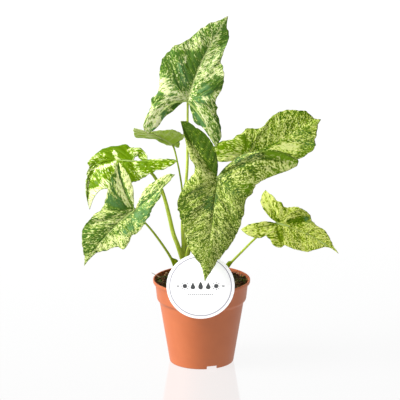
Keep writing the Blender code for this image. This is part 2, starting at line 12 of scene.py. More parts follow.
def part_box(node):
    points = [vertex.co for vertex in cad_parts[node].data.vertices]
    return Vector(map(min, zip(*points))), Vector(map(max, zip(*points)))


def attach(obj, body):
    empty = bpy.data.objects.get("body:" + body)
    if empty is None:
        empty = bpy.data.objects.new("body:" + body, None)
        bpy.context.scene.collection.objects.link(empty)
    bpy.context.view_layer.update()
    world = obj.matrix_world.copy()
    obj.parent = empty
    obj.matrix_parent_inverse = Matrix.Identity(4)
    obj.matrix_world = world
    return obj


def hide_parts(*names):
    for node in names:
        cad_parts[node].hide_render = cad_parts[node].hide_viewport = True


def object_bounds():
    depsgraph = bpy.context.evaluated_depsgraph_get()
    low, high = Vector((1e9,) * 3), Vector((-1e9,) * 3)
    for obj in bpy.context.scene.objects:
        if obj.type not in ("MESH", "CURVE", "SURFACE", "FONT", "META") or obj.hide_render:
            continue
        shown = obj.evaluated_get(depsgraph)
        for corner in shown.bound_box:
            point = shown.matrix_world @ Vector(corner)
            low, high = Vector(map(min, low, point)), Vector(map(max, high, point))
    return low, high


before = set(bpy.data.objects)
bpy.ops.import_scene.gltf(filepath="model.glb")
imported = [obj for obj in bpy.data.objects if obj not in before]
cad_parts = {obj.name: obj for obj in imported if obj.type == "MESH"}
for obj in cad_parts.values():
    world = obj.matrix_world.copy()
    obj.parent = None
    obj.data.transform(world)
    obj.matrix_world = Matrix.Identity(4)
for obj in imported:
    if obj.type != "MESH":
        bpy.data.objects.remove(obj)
cadLow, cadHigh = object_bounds()
print("model loaded:", len(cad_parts), "nodes")

mm = 0.001
potLow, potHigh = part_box("pot")
potX, potY = (potLow.x + potHigh.x) / 2, (potLow.y + potHigh.y) / 2

# Front picture, 400 pixels square: where a pixel lies in the world at a given depth
picture = {
    "middle": 200,                  # pixel column and row at its centre
    "scale": 816.7,                 # pixels to a metre at the target
    "distance": 3.5,
    "pitch": math.radians(14.9),    # how far the view looks down
    "target": (potX - 2.0 * mm, potY, 205.3 * mm),
    "size": 400,
    "sensor": 36,
}


def seen(right, down, depth):
    ahead = np.array([0, math.cos(picture["pitch"]), -math.sin(picture["pitch"])])
    up = np.array([0, math.sin(picture["pitch"]), math.cos(picture["pitch"])])
    across = np.array([1.0, 0, 0])
    eye = np.array(picture["target"]) - ahead * picture["distance"]
    focal = picture["scale"] * picture["distance"]
    right, down, depth = (np.asarray(value, float)[..., None] for value in (right, down, depth))
    ray = ahead + across * (right - picture["middle"]) / focal + up * (picture["middle"] - down) / focal
    return eye + ray * (depth + potY - eye[1]) / ray[..., 1:2]


def smoothPath(points, steps):
    # Catmull-Rom through given points, then even steps along it
    handSet = np.array(points, float)
    padded = np.vstack([2 * handSet[0] - handSet[1], handSet, 2 * handSet[-1] - handSet[-2]])
    t = np.linspace(0, 1, 24, endpoint=False)[:, None]
    spans = []
    for a, b, c, d in zip(padded, padded[1:], padded[2:], padded[3:]):
        spans.append(0.5 * (2 * b + (c - a) * t + (2 * a - 5 * b + 4 * c - d) * t**2
                            + (3 * b - a - 3 * c + d) * t**3))
    fine = np.vstack(spans + [handSet[-1:]])
    walked = np.concatenate([[0], np.cumsum(np.linalg.norm(np.diff(fine, axis=0), axis=1))])
    stops = np.linspace(0, walked[-1], steps + 1)
    return np.column_stack([np.interp(stops, walked, fine[:, k]) for k in range(handSet.shape[1])])


def ease(value, low, high):
    share = np.clip((value - low) / (high - low), 0, 1)
    return share * share * (3 - 2 * share)


# Objects

def meshObject(name, bm, materials, slot, *nodes):
    mesh = bpy.data.meshes.new(name)
    bm.to_mesh(mesh)
    bm.free()
    mesh.shade_smooth()
    piece = bpy.data.objects.new(name, mesh)
    bpy.context.scene.collection.objects.link(piece)
    for material in materials:
        mesh.materials.append(material)
    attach(piece, "root")
    if nodes:
        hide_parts(*nodes)
    return piece


# Shader helpers: a value may be a number, a colour or another node's output

def plug(tree, socket, value):
    if isinstance(value, bpy.types.NodeSocket):
        tree.links.new(value, socket)
    else:
        socket.default_value = value


def addNode(tree, kind, settings, sockets):
    made = tree.nodes.new("ShaderNode" + kind)
    for key, value in settings.items():
        setattr(made, key, value)
    for key, value in sockets.items():
        plug(tree, made.inputs[key], value)
    return made


def noiseOf(tree, vector, scale, detail=2.0, roughness=0.5, distortion=0.0):
    sockets = {"Vector": vector, "Scale": scale, "Detail": detail, "Roughness": roughness,
               "Distortion": distortion}
    return addNode(tree, "TexNoise", {}, sockets).outputs["Fac"]


def mathOf(tree, operation, first, second=0.0):
    return addNode(tree, "Math", {"operation": operation}, {0: first, 1: second}).outputs[0]


def stretchOf(tree, vector, factors):
    return addNode(tree, "VectorMath", {"operation": "MULTIPLY"}, {0: vector, 1: factors}).outputs[0]


def stepOf(tree, value, low, high, start=0.0, end=1.0):
    sockets = {"Value": value, "From Min": low, "From Max": high, "To Min": start, "To Max": end}
    return addNode(tree, "MapRange", {"interpolation_type": "SMOOTHSTEP"}, sockets).outputs["Result"]


def blendOf(tree, factor, first, second):
    return addNode(tree, "Mix", {}, {0: factor, 2: first, 3: second}).outputs[0]


def tintOf(tree, factor, first, second, how="MIX"):
    settings = {"data_type": "RGBA", "blend_type": how}
    return addNode(tree, "Mix", settings, {0: factor, 6: first, 7: second}).outputs[2]


def attributeOf(tree, name, output="Vector"):
    return addNode(tree, "Attribute", {"attribute_name": name}, {}).outputs[output]


def objectPlace(tree):
    return addNode(tree, "TexCoord", {}, {}).outputs["Object"]


def splitOf(tree, vector):
    return addNode(tree, "SeparateXYZ", {}, {"Vector": vector}).outputs


def bumpOf(tree, height, strength, distance):
    sockets = {"Height": height, "Strength": strength, "Distance": distance}
    return addNode(tree, "Bump", {}, sockets).outputs[0]


def newGroup(name, inputs, outputs):
    group = bpy.data.node_groups.new(name, "ShaderNodeTree")
    for label, kind, value in inputs:
        socket = group.interface.new_socket(label, in_out="INPUT", socket_type="NodeSocket" + kind)
        if value is not None:
            socket.default_value = value
    for label, kind in outputs:
        group.interface.new_socket(label, in_out="OUTPUT", socket_type="NodeSocket" + kind)
    return group, group.nodes.new("NodeGroupInput").outputs, group.nodes.new("NodeGroupOutput").inputs


def useGroup(tree, group, sockets):
    return addNode(tree, "Group", {"node_tree": group}, sockets).outputs


def newMaterial(name):
    material = bpy.data.materials.new(name)
    material.use_nodes = True
    shader = material.node_tree.nodes["Principled BSDF"]
    return material, material.node_tree, shader.inputs


def paint(red, green, blue):
    # a colour as seen on a screen, 0 to 255, made linear
    def linear(value):
        value = value / 255
        return value / 12.92 if value <= 0.04045 else ((value + 0.055) / 1.055) ** 2.4
    return linear(red), linear(green), linear(blue), 1


# Leaves: joint, margin and tip in pixels of the front picture, with millimetres lifted towards the viewer.
# Depth is the joint's, and the leans tilt the blade's plane.
leaves = {
    "leaf_top": {
        "joint": (187.7, 101), "depth": 5, "leanRight": 0.0, "leanUp": 0.23,
        "inner1": [(183, 101.6, 0), (177.7, 106, 1), (172.5, 111.5, 2), (164.5, 117, 3), (159, 125, 5),
                   (153, 130.8, 6)],
        "lobe1": (148.2, 133.7, 6),
        "outer1": [(144.5, 130.5, 7), (143.2, 124, 8), (146.8, 115.5, 8), (151, 106, 7), (152, 98.2, 6),
                   (158.8, 91, 5), (159, 77, 5), (161, 64, 6), (166, 54, 6), (174, 46.5, 6),
                   (185, 41.4, 5), (193.6, 35, 4), (206, 25.2, 3), (217, 21.2, 2)],
        "tip": (228.2, 15.8, 0),
        "outer2": [(227, 25, 1), (229.1, 37, 5), (224.5, 50, 10), (221.4, 60.5, 13), (224.2, 75, 16),
                   (222.3, 88.6, 15), (216.2, 100, 11), (218.2, 117, 8), (221.6, 133, 6)],
        "lobe2": (216.5, 148, 4),
        "inner2": [(209, 136.4, 4), (202.7, 127.7, 3), (194.5, 122.3, 2), (192.7, 115, 1), (190, 106, 0)],
        "bends": [(-3, -9, 5), (-1, 1, 5), (-4, -1, 6), (1, 1, 5), (2, -3, 4)],
        "waves": (1.2, 5),
    },
    "leaf_front": {
        "joint": (217, 178), "depth": -50, "leanRight": 0.08, "leanUp": 0.25,
        "inner1": [(215.7, 171, 2), (217.6, 162, 6), (214.5, 147.5, 10), (205.5, 134, 9), (194.5, 126, 5),
                   (187.5, 121.4, 2)],
        "lobe1": (180.4, 121, 0),
        "outer1": [(182.5, 129.5, 2), (186, 144.5, 5), (190.5, 158.5, 6), (194.8, 166.5, 6),
                   (195, 171.5, 5), (189.5, 178.5, 5), (182.5, 188.5, 6), (177.4, 204, 7),
                   (180.8, 219.5, 6), (183.5, 230, 5), (187, 244, 4), (192, 253, 3), (200.3, 264.5, 2),
                   (203.5, 274, 1)],
        "tip": (204.7, 282, 0),
        "outer2": [(207.5, 276.5, 1), (213, 268, 2), (220, 258, 3), (233, 241, 5), (240.6, 224.5, 7),
                   (244.8, 209, 9), (245, 200.5, 9), (252, 193.7, 8), (255.8, 185.5, 8),
                   (264.5, 179.5, 6), (275.5, 175, 4), (288, 170.6, 2)],
        "lobe2": (297, 166, 0),
        "inner2": [(298.3, 160, 3), (290, 155, 8), (280, 151.3, 10), (266, 152.3, 6), (251, 153, 2),
                   (240, 155.8, 0), (234, 161.5, 0), (228, 165.5, 0), (222.5, 174, 0)],
        "bends": [(-2, 1, 2), (0, 0, 5), (0, 2, 8), (1, 0, 6), (1.5, -12, 5)],
        "waves": (1.2, 5),
    },
    "leaf_right_back": {
        "joint": (246, 156), "depth": 25, "leanRight": 0.1, "leanUp": 0.6,
        "inner1": [(240, 159, 0), (234.5, 160.5, 0), (226, 161.7, 1), (218, 161, 2)],
        "lobe1": (209, 155, 2),
        "outer1": [(211, 149, 3), (221, 141.5, 4), (230.5, 139.5, 3), (239.5, 134.5, 2),
                   (247.5, 128.5, 2), (257.5, 128.7, 3), (265.5, 125.5, 3), (270.5, 118, 3),
                   (277.5, 112.5, 3), (288, 110.3, 2), (299.5, 110.3, 1), (307, 112.2, 0),
                   (314.4, 118.4, -1)],
        "tip": (321, 119.5, 0),
        "outer2": [(317.5, 126.5, 2), (315.7, 139.5, 5), (313.5, 149.5, 8), (304.5, 156, 10),
                   (297, 160, 10), (284, 164, 9), (268, 171, 8), (256, 181, 7)],
        "lobe2": (242, 192, 5),
        "inner2": [(240, 182, 3), (242, 171, 1)],
        "bends": [(0, -1, 3), (0, -2, 5), (0, 1, 7), (0, 2, 6), (0, 0, 3)],
        "waves": (1.0, 4),
    },
    "leaf_right_small": {
        "joint": (277.4, 223.2), "depth": -20, "leanRight": 0.0, "leanUp": 0.5,
        "inner1": [(271.6, 223, 0), (265.2, 221.2, 1), (257.4, 222.7, 1), (249.5, 224.5, 1),
                   (244, 227.2, 0)],
        "lobe1": (241, 229.5, 0),
        "outer1": [(245.2, 233.4, 1), (253.8, 237.4, 2), (261, 237.6, 3), (265.6, 236.2, 3),
                   (270.2, 240, 4), (275, 246, 5), (281.3, 247.4, 5), (285, 245.4, 5), (291.6, 248, 5),
                   (298.8, 250.2, 5), (307.4, 251.8, 4), (315, 249.8, 3), (325, 247.2, 2),
                   (332.7, 249, 1)],
        "tip": (338.8, 253.6, 0),
        "outer2": [(334.5, 247.4, 1), (327.4, 233.8, 3), (323, 229.2, 4), (318.4, 227, 4),
                   (312.4, 221.6, 5), (310.2, 215.2, 5), (304.5, 210.2, 5), (295, 206.8, 4),
                   (285.6, 207, 4), (276, 198.8, 3), (269.5, 193.5, 2)],
        "lobe2": (265.6, 190, 0),
        "inner2": [(262, 195, 0), (260.6, 202, 0), (265.2, 211.6, 0), (271, 217.4, 0), (275.3, 220.6, 0)],
        "bends": [(0, 1, 3), (0, 2, 4), (-1, -4, 5), (0, -2, 4), (0, 0, 2)],
        "waves": (0.8, 4),
    },
    "leaf_left_front": {
        "joint": (134.5, 210.3), "depth": -34, "leanRight": 0.0, "leanUp": 0.4,
        "inner1": [(132.8, 206.5, 0), (132, 203, 0), (133.7, 193, 1), (132, 183.7, 2), (127.8, 173.7, 2),
                   (122, 165, 1)],
        "lobe1": (118.7, 160.8, 0),
        "outer1": [(114.5, 170, 3), (110.3, 179.5, 6), (107.4, 191, 8), (105.3, 201, 8), (101.2, 209, 7),
                   (94.5, 214.6, 6), (89, 220.3, 6), (84.6, 226, 5), (81.2, 235, 5), (82, 244.5, 4),
                   (84.6, 257, 2)],
        "tip": (84.1, 266.2, 0),
        "outer2": [(89.5, 259.3, 1), (97, 252.8, 2), (107, 250.3, 4), (115.3, 247.2, 5), (122.8, 249, 6),
                   (128.7, 243.7, 7), (131.6, 235.6, 7), (139.3, 231.4, 7), (147.8, 218.7, 8),
                   (155.2, 203.8, 7), (160.3, 198.2, 5), (162.8, 187, 3), (167.8, 181.8, 2)],
        "lobe2": (175.3, 174.5, 0),
        "inner2": [(167, 174.3, 0), (158.7, 178.7, 0), (146.5, 187, 0), (141, 196, 0), (138.5, 204.8, 0)],
        "bends": [(-3, 0, 1), (0, 1, 3), (-1, -4, 4), (0, 1, 3), (1, 1, 2)],
        "waves": (1.0, 4),
    },
    "leaf_left_back": {
        "joint": (133.2, 161.6), "depth": 10, "leanRight": 0.0, "leanUp": 1.3,
        "inner1": [(134.4, 158, 0), (136.6, 154.4, 0), (139.2, 157.2, -1), (141.8, 160, -2)],
        "lobe1": (147.8, 160.2, -2),
        "outer1": [(147, 156, 1), (145, 152, 2), (142, 149.9, 2), (137, 150.2, 1), (131.5, 149.2, 0),
                   (126.2, 145.6, 0), (116.2, 147.2, 0), (105.3, 149, -1), (96, 154.3, -3),
                   (88.7, 161.6, -4), (88, 169.5, -9), (87, 180.3, -18), (85.6, 192, -28),
                   (87.4, 202, -39)],
        "tip": (89.8, 209.9, -47),
        "outer2": [(91.9, 203, -39), (95, 196.5, -30), (101, 190, -20), (110, 188.3, -16),
                   (122, 185.5, -12), (132, 182.6, -10), (140.3, 180, -9), (148, 174.5, -4),
                   (157, 170.9, 1), (167, 168.2, 2)],
        "lobe2": (177.5, 161.6, 2),
        "inner2": [(173, 159.6, 1), (157.8, 159.5, 0), (142, 160.4, 0)],
        "bends": [(-1.5, -6.5, 2), (-6, -6, 2), (-16, -15, 13), (-6, -6, 5), (0, -1, 2)],
        "waves": (1.0, 4),
    },
    "leaf_small": {
        "joint": (173, 144.6), "depth": 24, "leanRight": -0.15, "leanUp": -1.6,
        "inner1": [(175, 146.4, 0), (177, 147.9, 0)],
        "lobe1": (179.3, 147.6, 0),
        "outer1": [(179.7, 144, 0), (180, 140.9, 0), (184, 139, 0), (182.6, 134.8, 0), (178.5, 132, 0),
                   (172.5, 129.7, 0), (164.5, 130.3, 0), (155.5, 131.3, 0), (148, 132.6, 0),
                   (141, 130.6, 0)],
        "tip": (133.8, 128, 0),
        "outer2": [(133.6, 131.6, 0), (135.6, 137.6, 0), (144.5, 138, 0), (154, 138.8, 0),
                   (160, 142.2, 0)],
        "lobe2": (166, 144.6, 0),
        "inner2": [(169.5, 145, 0)],
        "bends": [(0, 0, 1), (0, 0, 2), (0, -2, 3), (0, -2.4, 2), (0, 0, 1)],
        "waves": (0.5, 3),
    },
}


# Fineness of every blade: steps round each lobe's inner edge, along each side, and from joint to margin
bladeGrid = {"lobeSteps": 36, "sideSteps": 76, "rows": 56}

# Relief of a blade, in millimetres
bladeRelief = {
    "upperLift": 0.3,        # upper skin above the solid's middle
    "ribThickness": 1.7,     # at the joint, under the midrib
    "bladeThickness": 0.55,
    "edgeThickness": 0.22,
    "edgeFrom": 0.93,        # share of the way out from which the blade thins to its edge
    "ribTrough": 0.28,
    "ribWidth": 2.1,
    "ribNarrows": 0.75,      # share of that width lost by the rib's end
    "veinTrough": 0.16,
    "veinWidth": 0.55,
    "veinBelow": 0.12,       # how far a side vein stands out from the underside
    "veinSpacing": 9.5,
    "veinArch": 0.006,       # how much side veins bow towards the tip
    "pillow": 0.6,
    "slant": (1.6, 2.0),     # how much nearer to its rib a side vein runs, on the middle part and on a lobe
    "wobble": 0.5,           # height and size of the blade's slow waves
    "wobbleSize": 22,
    "ragged": 2.4,           # how far the margin strays, and the sizes of its larger and smaller notches
    "raggedSizes": (7.5, 2.6),
    "inset": 0.35,           # kept free inside the solids' own box
    "flowGap": 37.0,         # between one leaf's pattern and the next
}


def bladeMargin(leaf):
    joint = (*leaf["joint"], 0)
    waveHeight, waveCount = leaf["waves"]
    lobeSteps, sideSteps = bladeGrid["lobeSteps"], bladeGrid["sideSteps"]
    parts = [
        ([joint, *leaf["inner1"], leaf["lobe1"]], lobeSteps, 0),
        ([leaf["lobe1"], *leaf["outer1"], leaf["tip"]], sideSteps, waveHeight),
        ([leaf["tip"], *leaf["outer2"], leaf["lobe2"]], sideSteps, waveHeight),
        ([leaf["lobe2"], *leaf["inner2"], joint], lobeSteps, 0),
    ]
    margin = [np.array([joint])]
    for points, steps, height in parts:
        stretch = smoothPath(points, steps)
        along = np.linspace(0, 1, steps + 1)
        stretch[:, 2] += height * np.sin(along * math.pi * 2 * waveCount) * np.sin(along * math.pi)
        margin.append(stretch[1:])
    return np.vstack(margin)


def ribColumns():
    first = bladeGrid["lobeSteps"]
    return [first, first + bladeGrid["sideSteps"], first + 2 * bladeGrid["sideSteps"]]


def bladeBends(leaf, count):
    # how far each ray from the joint bows at its middle
    lobe1, tip, lobe2 = ribColumns()
    ends = [0, lobe1, (lobe1 + tip) / 2, tip, (tip + lobe2) / 2, lobe2, count - 1]
    values = np.array([(0, 0, 0), *leaf["bends"], (0, 0, 0)], float)
    places = np.arange(count)
    span = np.clip(np.searchsorted(ends, places, side="right") - 1, 0, len(ends) - 2)
    starts = np.array(ends)[span]
    share = (places - starts) / (np.array(ends)[span + 1] - starts)
    blend = (0.5 - 0.5 * np.cos(math.pi * share))[:, None]
    return values[span] * (1 - blend) + values[span + 1] * blend


def layBlade(leaf):
    # the blade's middle surface in the world, and the pixels it shows at
    margin = bladeMargin(leaf)
    joint = np.array([*leaf["joint"], 0.0])
    out = np.linspace(0, 1, bladeGrid["rows"] + 1)[:, None, None]
    laid = joint + out * (margin - joint) + 4 * out * (1 - out) * bladeBends(leaf, len(margin))
    right, down, lift = laid[..., 0], laid[..., 1], laid[..., 2]
    depth = leaf["depth"] + leaf["leanRight"] * (right - joint[0]) + leaf["leanUp"] * (joint[1] - down) - lift
    return seen(right, down, depth * mm)[:, 1:-1], laid[:, 1:-1, :2]


def bladeChart(points):
    # the blade unrolled: distance from the joint along each ray, and the angle between rays
    steps = np.linalg.norm(np.diff(points, axis=0), axis=2)
    reach = np.vstack([np.zeros((1, points.shape[1])), np.cumsum(steps, axis=0)])
    rays = points[bladeGrid["rows"] // 2] - points[0, 0]
    rays /= np.linalg.norm(rays, axis=1)[:, None]
    turns = np.arccos(np.clip(np.sum(rays[1:] * rays[:-1], axis=1), -1, 1))
    return reach / mm, np.concatenate([[0], np.cumsum(turns)])


def bladeVeins(reach, angle):
    # places along and beside the nearest rib, in millimetres, and how much a place belongs to a lobe
    columns = [column - 1 for column in ribColumns()]
    lobe1, tip, lobe2 = angle[columns]
    half = np.where(angle < tip, (tip - lobe1) / 2, (lobe2 - tip) / 2)
    fromTip = angle - tip
    fromLobe = np.where(angle < tip, angle - lobe1, angle - lobe2)
    inLobe = np.abs(fromTip) > half
    turn = np.where(inLobe, fromLobe, fromTip)
    middleSlant, lobeSlant = bladeRelief["slant"]
    slant = np.where(inLobe, lobeSlant, middleSlant) / np.tan(half)
    beside = reach * np.sin(turn)
    along = reach * np.cos(turn) - np.abs(beside) * slant
    ribReach = reach[-1][np.where(inLobe, np.where(angle < tip, columns[0], columns[2]), columns[1])]
    side = reach * np.sin(fromTip)
    ahead = reach * np.cos(fromTip) - np.abs(side) * middleSlant / np.tan(half)
    # the height of the lobes' places keeps the two lobes' patterns apart
    apart = 0 * reach + half * 100
    return {
        "vein": along - bladeRelief["veinArch"] * beside**2,
        "between": np.broadcast_to(np.abs(np.abs(fromTip) / half - 1), reach.shape),
        "beside": np.where(np.abs(turn) < math.pi / 2, np.abs(beside), reach),
        "ribShare": np.clip(reach / ribReach, 0, 1),
        "middle": np.stack([ahead, side, 0 * reach], -1),
        "lobe": np.stack([reach * np.cos(fromLobe), reach * np.sin(fromLobe), apart], -1),
        "lobeShare": np.broadcast_to(ease(np.abs(fromTip) / half, 0.7, 1.25), reach.shape),
    }


def strokeShare(pixels, stroke):
    # how fully a brush stroke through these pixels covers each place: its core wholly, then a soft edge
    width, points = stroke["width"], np.array(stroke["through"], float)
    nearest = np.full(pixels.shape[:2], 1e9)
    ends = zip(points, points[1:]) if len(points) > 1 else [(points[0], points[0] + 0.01)]
    for start, end in ends:
        run = end - start
        share = np.clip(((pixels - start) @ run) / (run @ run), 0, 1)
        nearest = np.minimum(nearest, np.linalg.norm(pixels - start - share[..., None] * run, axis=-1))
    core, edge = width * 0.5, width * 1.4 + 1.2
    return 1 - ease(nearest, core, edge)


def bladeColours(pixels, leaf):
    # share of green, bluish tint and painted shade at each place, and the painted glow of light through its
    # green; the bluish tint is partly the leaf's own blue-green, partly painted sheen and shade
    green = np.full(pixels.shape[:2], leaf["green"], float)
    blue = np.full(pixels.shape[:2], leaf.get("blue", 0.1), float)
    shade, glow = np.zeros(pixels.shape[:2]), np.full(pixels.shape[:2], leaf.get("glow", 0.0), float)
    for kind, field in (("greens", green), ("blues", blue), ("paintedShades", shade), ("glows", glow)):
        for amount, width, *through in leaf.get(kind, []):
            cover = strokeShare(pixels, {"width": width, "through": through})
            field += (amount - field) * cover
    return np.stack([green, blue, shade], -1), glow


def wobble(points, size, seed):
    spread = np.zeros(points.shape[:2])
    for index in np.ndindex(spread.shape):
        place = Vector(points[index]) / (size * mm) + Vector((seed, 0, 0))
        spread[index] = noise.noise(place)
    return spread


def raggedEdge(points, seed):
    # how far each ray's end strays along it, so that the margin isn't ruler-smooth; the tips stay in place
    margin = points[-1]
    length = np.concatenate([[0], np.cumsum(np.linalg.norm(np.diff(margin, axis=0), axis=1))]) / mm
    large, small = bladeRelief["raggedSizes"]
    stray = np.array([noise.noise((place / large, seed, 0)) + 0.5 * noise.noise((place / small, seed, 5))
                      for place in length])
    columns = np.arange(len(margin))
    fixed = [0, *[column - 1 for column in ribColumns()], len(margin) - 1]
    calm = np.min([np.abs(columns - column) for column in fixed], axis=0)
    stray *= bladeRelief["ragged"] * mm * ease(calm, 0, 7)
    rays = margin - points[0]
    rays /= np.maximum(np.linalg.norm(rays, axis=1), 1e-9)[:, None]
    return rays * stray[:, None]


def bladeRise(veins, out):
    # relief of the upper skin over the middle surface, and thickness there, in millimetres
    relief = bladeRelief
    width = relief["ribWidth"] * (1 - relief["ribNarrows"] * veins["ribShare"])
    rib = np.exp(-(veins["beside"] / width) ** 2)
    fade = (1 - ease(out, 0.86, 1.0)) * ease(veins["beside"], 0.8, 4) * ease(out, 0.08, 0.25)
    fade = fade * ease(veins["between"], 0.0, 0.15)
    turns = veins["vein"] / relief["veinSpacing"]
    nearVein = (turns - np.round(turns)) * relief["veinSpacing"]
    sideVein = np.exp(-(nearVein / relief["veinWidth"]) ** 2) * fade
    pillow = (0.5 - 0.5 * np.cos(2 * math.pi * turns)) * fade
    rise = relief["pillow"] * pillow - relief["veinTrough"] * sideVein
    rise -= relief["ribTrough"] * rib * (1 - 0.7 * veins["ribShare"])
    ribBelow = np.exp(-(veins["beside"] / (width * 0.55)) ** 2) * (1 - 0.8 * veins["ribShare"])
    thick = relief["bladeThickness"] + (relief["ribThickness"] - relief["bladeThickness"]) * ribBelow
    thick += relief["veinBelow"] * sideVein
    thick += (relief["edgeThickness"] - thick) * ease(out, relief["edgeFrom"], 1.0)
    return rise, thick, rib, sideVein


def bladeSkin(points, rise, out, leaf, seed):
    # the upper skin, and which way round its faces go
    relief = bladeRelief
    normal = np.cross(np.gradient(points, axis=1), np.gradient(points, axis=0))
    normal[0] = normal[1]
    normal /= np.maximum(np.linalg.norm(normal, axis=2), 1e-12)[..., None]
    facing = -1 if np.mean(normal[..., 1]) * leaf.get("upperFaces", -1) < 0 else 1
    rise = rise + relief["wobble"] * wobble(points, relief["wobbleSize"], seed) * ease(out, 0.1, 0.4)
    skin = points + normal * facing * ((relief["upperLift"] + rise) * mm)[..., None]
    skin += raggedEdge(points, seed) * ease(out, 0.75, 1.0)[..., None]
    inset = relief["inset"] * mm
    return np.clip(skin, np.array(cadLow) + inset, np.array(cadHigh) - inset), facing


def bladeFields(veins, ribs, out, pixels, leaf, seed):
    # what the leaf's materials read at each place
    rib, sideVein = ribs
    offset = np.array([seed * bladeRelief["flowGap"], 0, 0])
    colouring, glow = bladeColours(pixels, leaf)
    return {
        "middleFlow": veins["middle"] + offset,
        "lobeFlow": veins["lobe"] + offset,
        "colouring": colouring,
        "form": np.stack([rib, sideVein, out], -1),
        "place": np.stack([veins["lobeShare"], out, glow], -1),
    }


def makeBlade(nodeName, leaf, seed):
    points, pixels = layBlade(leaf)
    reach, angle = bladeChart(points)
    veins = bladeVeins(reach, angle)
    out = np.linspace(0, 1, len(points))[:, None] + 0 * reach
    rise, thick, rib, sideVein = bladeRise(veins, out)
    skin, facing = bladeSkin(points, rise, out, leaf, seed)
    bm = bladeSheet(skin, bladeFields(veins, (rib, sideVein), out, pixels, leaf, seed), thick, facing)
    name = camel(nodeName)
    upper, under = leafMaterial(name, leaf["tones"]), underMaterial(name, leaf["tones"])
    blade = meshObject(name, bm, [upper, under], "leaf", nodeName)
    blade.vertex_groups.new(name="thickness")
    wall = blade.modifiers.new("thickness", "SOLIDIFY")
    wall.thickness = bladeRelief["ribThickness"] * mm
    wall.offset = -1
    wall.vertex_group = "thickness"
    wall.material_offset = 1
    wall.material_offset_rim = 0


def camel(nodeName):
    first, *rest = nodeName.split("_")
    return first + "".join(word.capitalize() for word in rest)


def bladeSheet(skin, fields, thick, facing):
    rows, columns = skin.shape[0] - 1, skin.shape[1] - 1
    bm = bmesh.new()
    bmesh.ops.create_grid(bm, x_segments=columns, y_segments=rows, size=1)
    layers = {key: bm.verts.layers.float_vector.new(key) for key in fields}
    deform = bm.verts.layers.deform.verify()
    for vert in bm.verts:
        column = round((vert.co.x + 1) / 2 * columns)
        row = round((vert.co.y + 1) / 2 * rows)
        vert.co = skin[row, column]
        for key, layer in layers.items():
            vert[layer] = fields[key][row, column]
        vert[deform][0] = thick[row, column] / bladeRelief["ribThickness"]
    if facing < 0:
        bmesh.ops.reverse_faces(bm, faces=bm.faces)
    bmesh.ops.remove_doubles(bm, verts=bm.verts, dist=0.01 * mm)
    return bm


# Leaf finish: green flecks of every size on a pale ground, drawn out along the veins

# The marbling's sockets; its sizes of fleck as a share of the scale, with their detail and distortion; and
# the levels at which one colour gives way to the next
marblingInputs = [
    ("Middle Flow", "Vector", None), ("Lobe Flow", "Vector", None), ("Lobe Share", "Float", 0.0),
    ("Green Share", "Float", 0.5), ("Blue Share", "Float", 0.0), ("Fleck Scale", "Float", 0.6),
    ("Streak", "Float", 0.5), ("Pleats", "Float", 1.0), ("Patches", "Float", 1.5),
    ("Cream", "Color", None), ("Light", "Color", None), ("Green", "Color", None), ("Dark", "Color", None),
    ("Blue", "Color", None),
]
fleckSizes = ((1.0, 3.0, 0.2), (0.36, 2.0, 0.6), (0.12, 2.0, 0.6))
levelSteps = {"light": (0.26, 0.40), "green": (0.46, 0.54), "dark": (0.58, 0.80), "blue": (0.34, 0.60)}


def pleatsOf(group, given):
    # broad folds along the side veins, from below zero to above it; they set dark bands in the green and
    # paint light and shade of the folds onto the colour
    bands = noiseOf(group, stretchOf(group, given["Middle Flow"], (1.0, 0.06, 1.0)), 0.32, 2.0, 0.55)
    ridges = noiseOf(group, stretchOf(group, given["Lobe Flow"], (0.05, 1.0, 1.0)), 0.4, 2.0, 0.55)
    folds = mathOf(group, "SUBTRACT", blendOf(group, given["Lobe Share"], bands, ridges), 0.5)
    return mathOf(group, "MULTIPLY", folds, given["Pleats"])


def flecksOf(group, given):
    # noise in three sizes, drawn out along the veins
    across = addNode(group, "CombineXYZ", {}, {"X": 1.0, "Y": given["Streak"], "Z": 1.0}).outputs[0]
    longer = mathOf(group, "MULTIPLY", given["Streak"], 0.6)
    along = addNode(group, "CombineXYZ", {}, {"X": longer, "Y": 1.0, "Z": 1.0}).outputs[0]
    drawnOut = stretchOf(group, given["Middle Flow"], across)
    streaked = stretchOf(group, given["Lobe Flow"], along)
    flecks = []
    for times, detail, distortion in fleckSizes:
        scale = mathOf(group, "MULTIPLY", given["Fleck Scale"], times)
        middle = noiseOf(group, drawnOut, scale, detail, 0.62, distortion)
        lobe = noiseOf(group, streaked, scale, detail, 0.62, distortion)
        flecks.append(blendOf(group, given["Lobe Share"], middle, lobe))
    return flecks


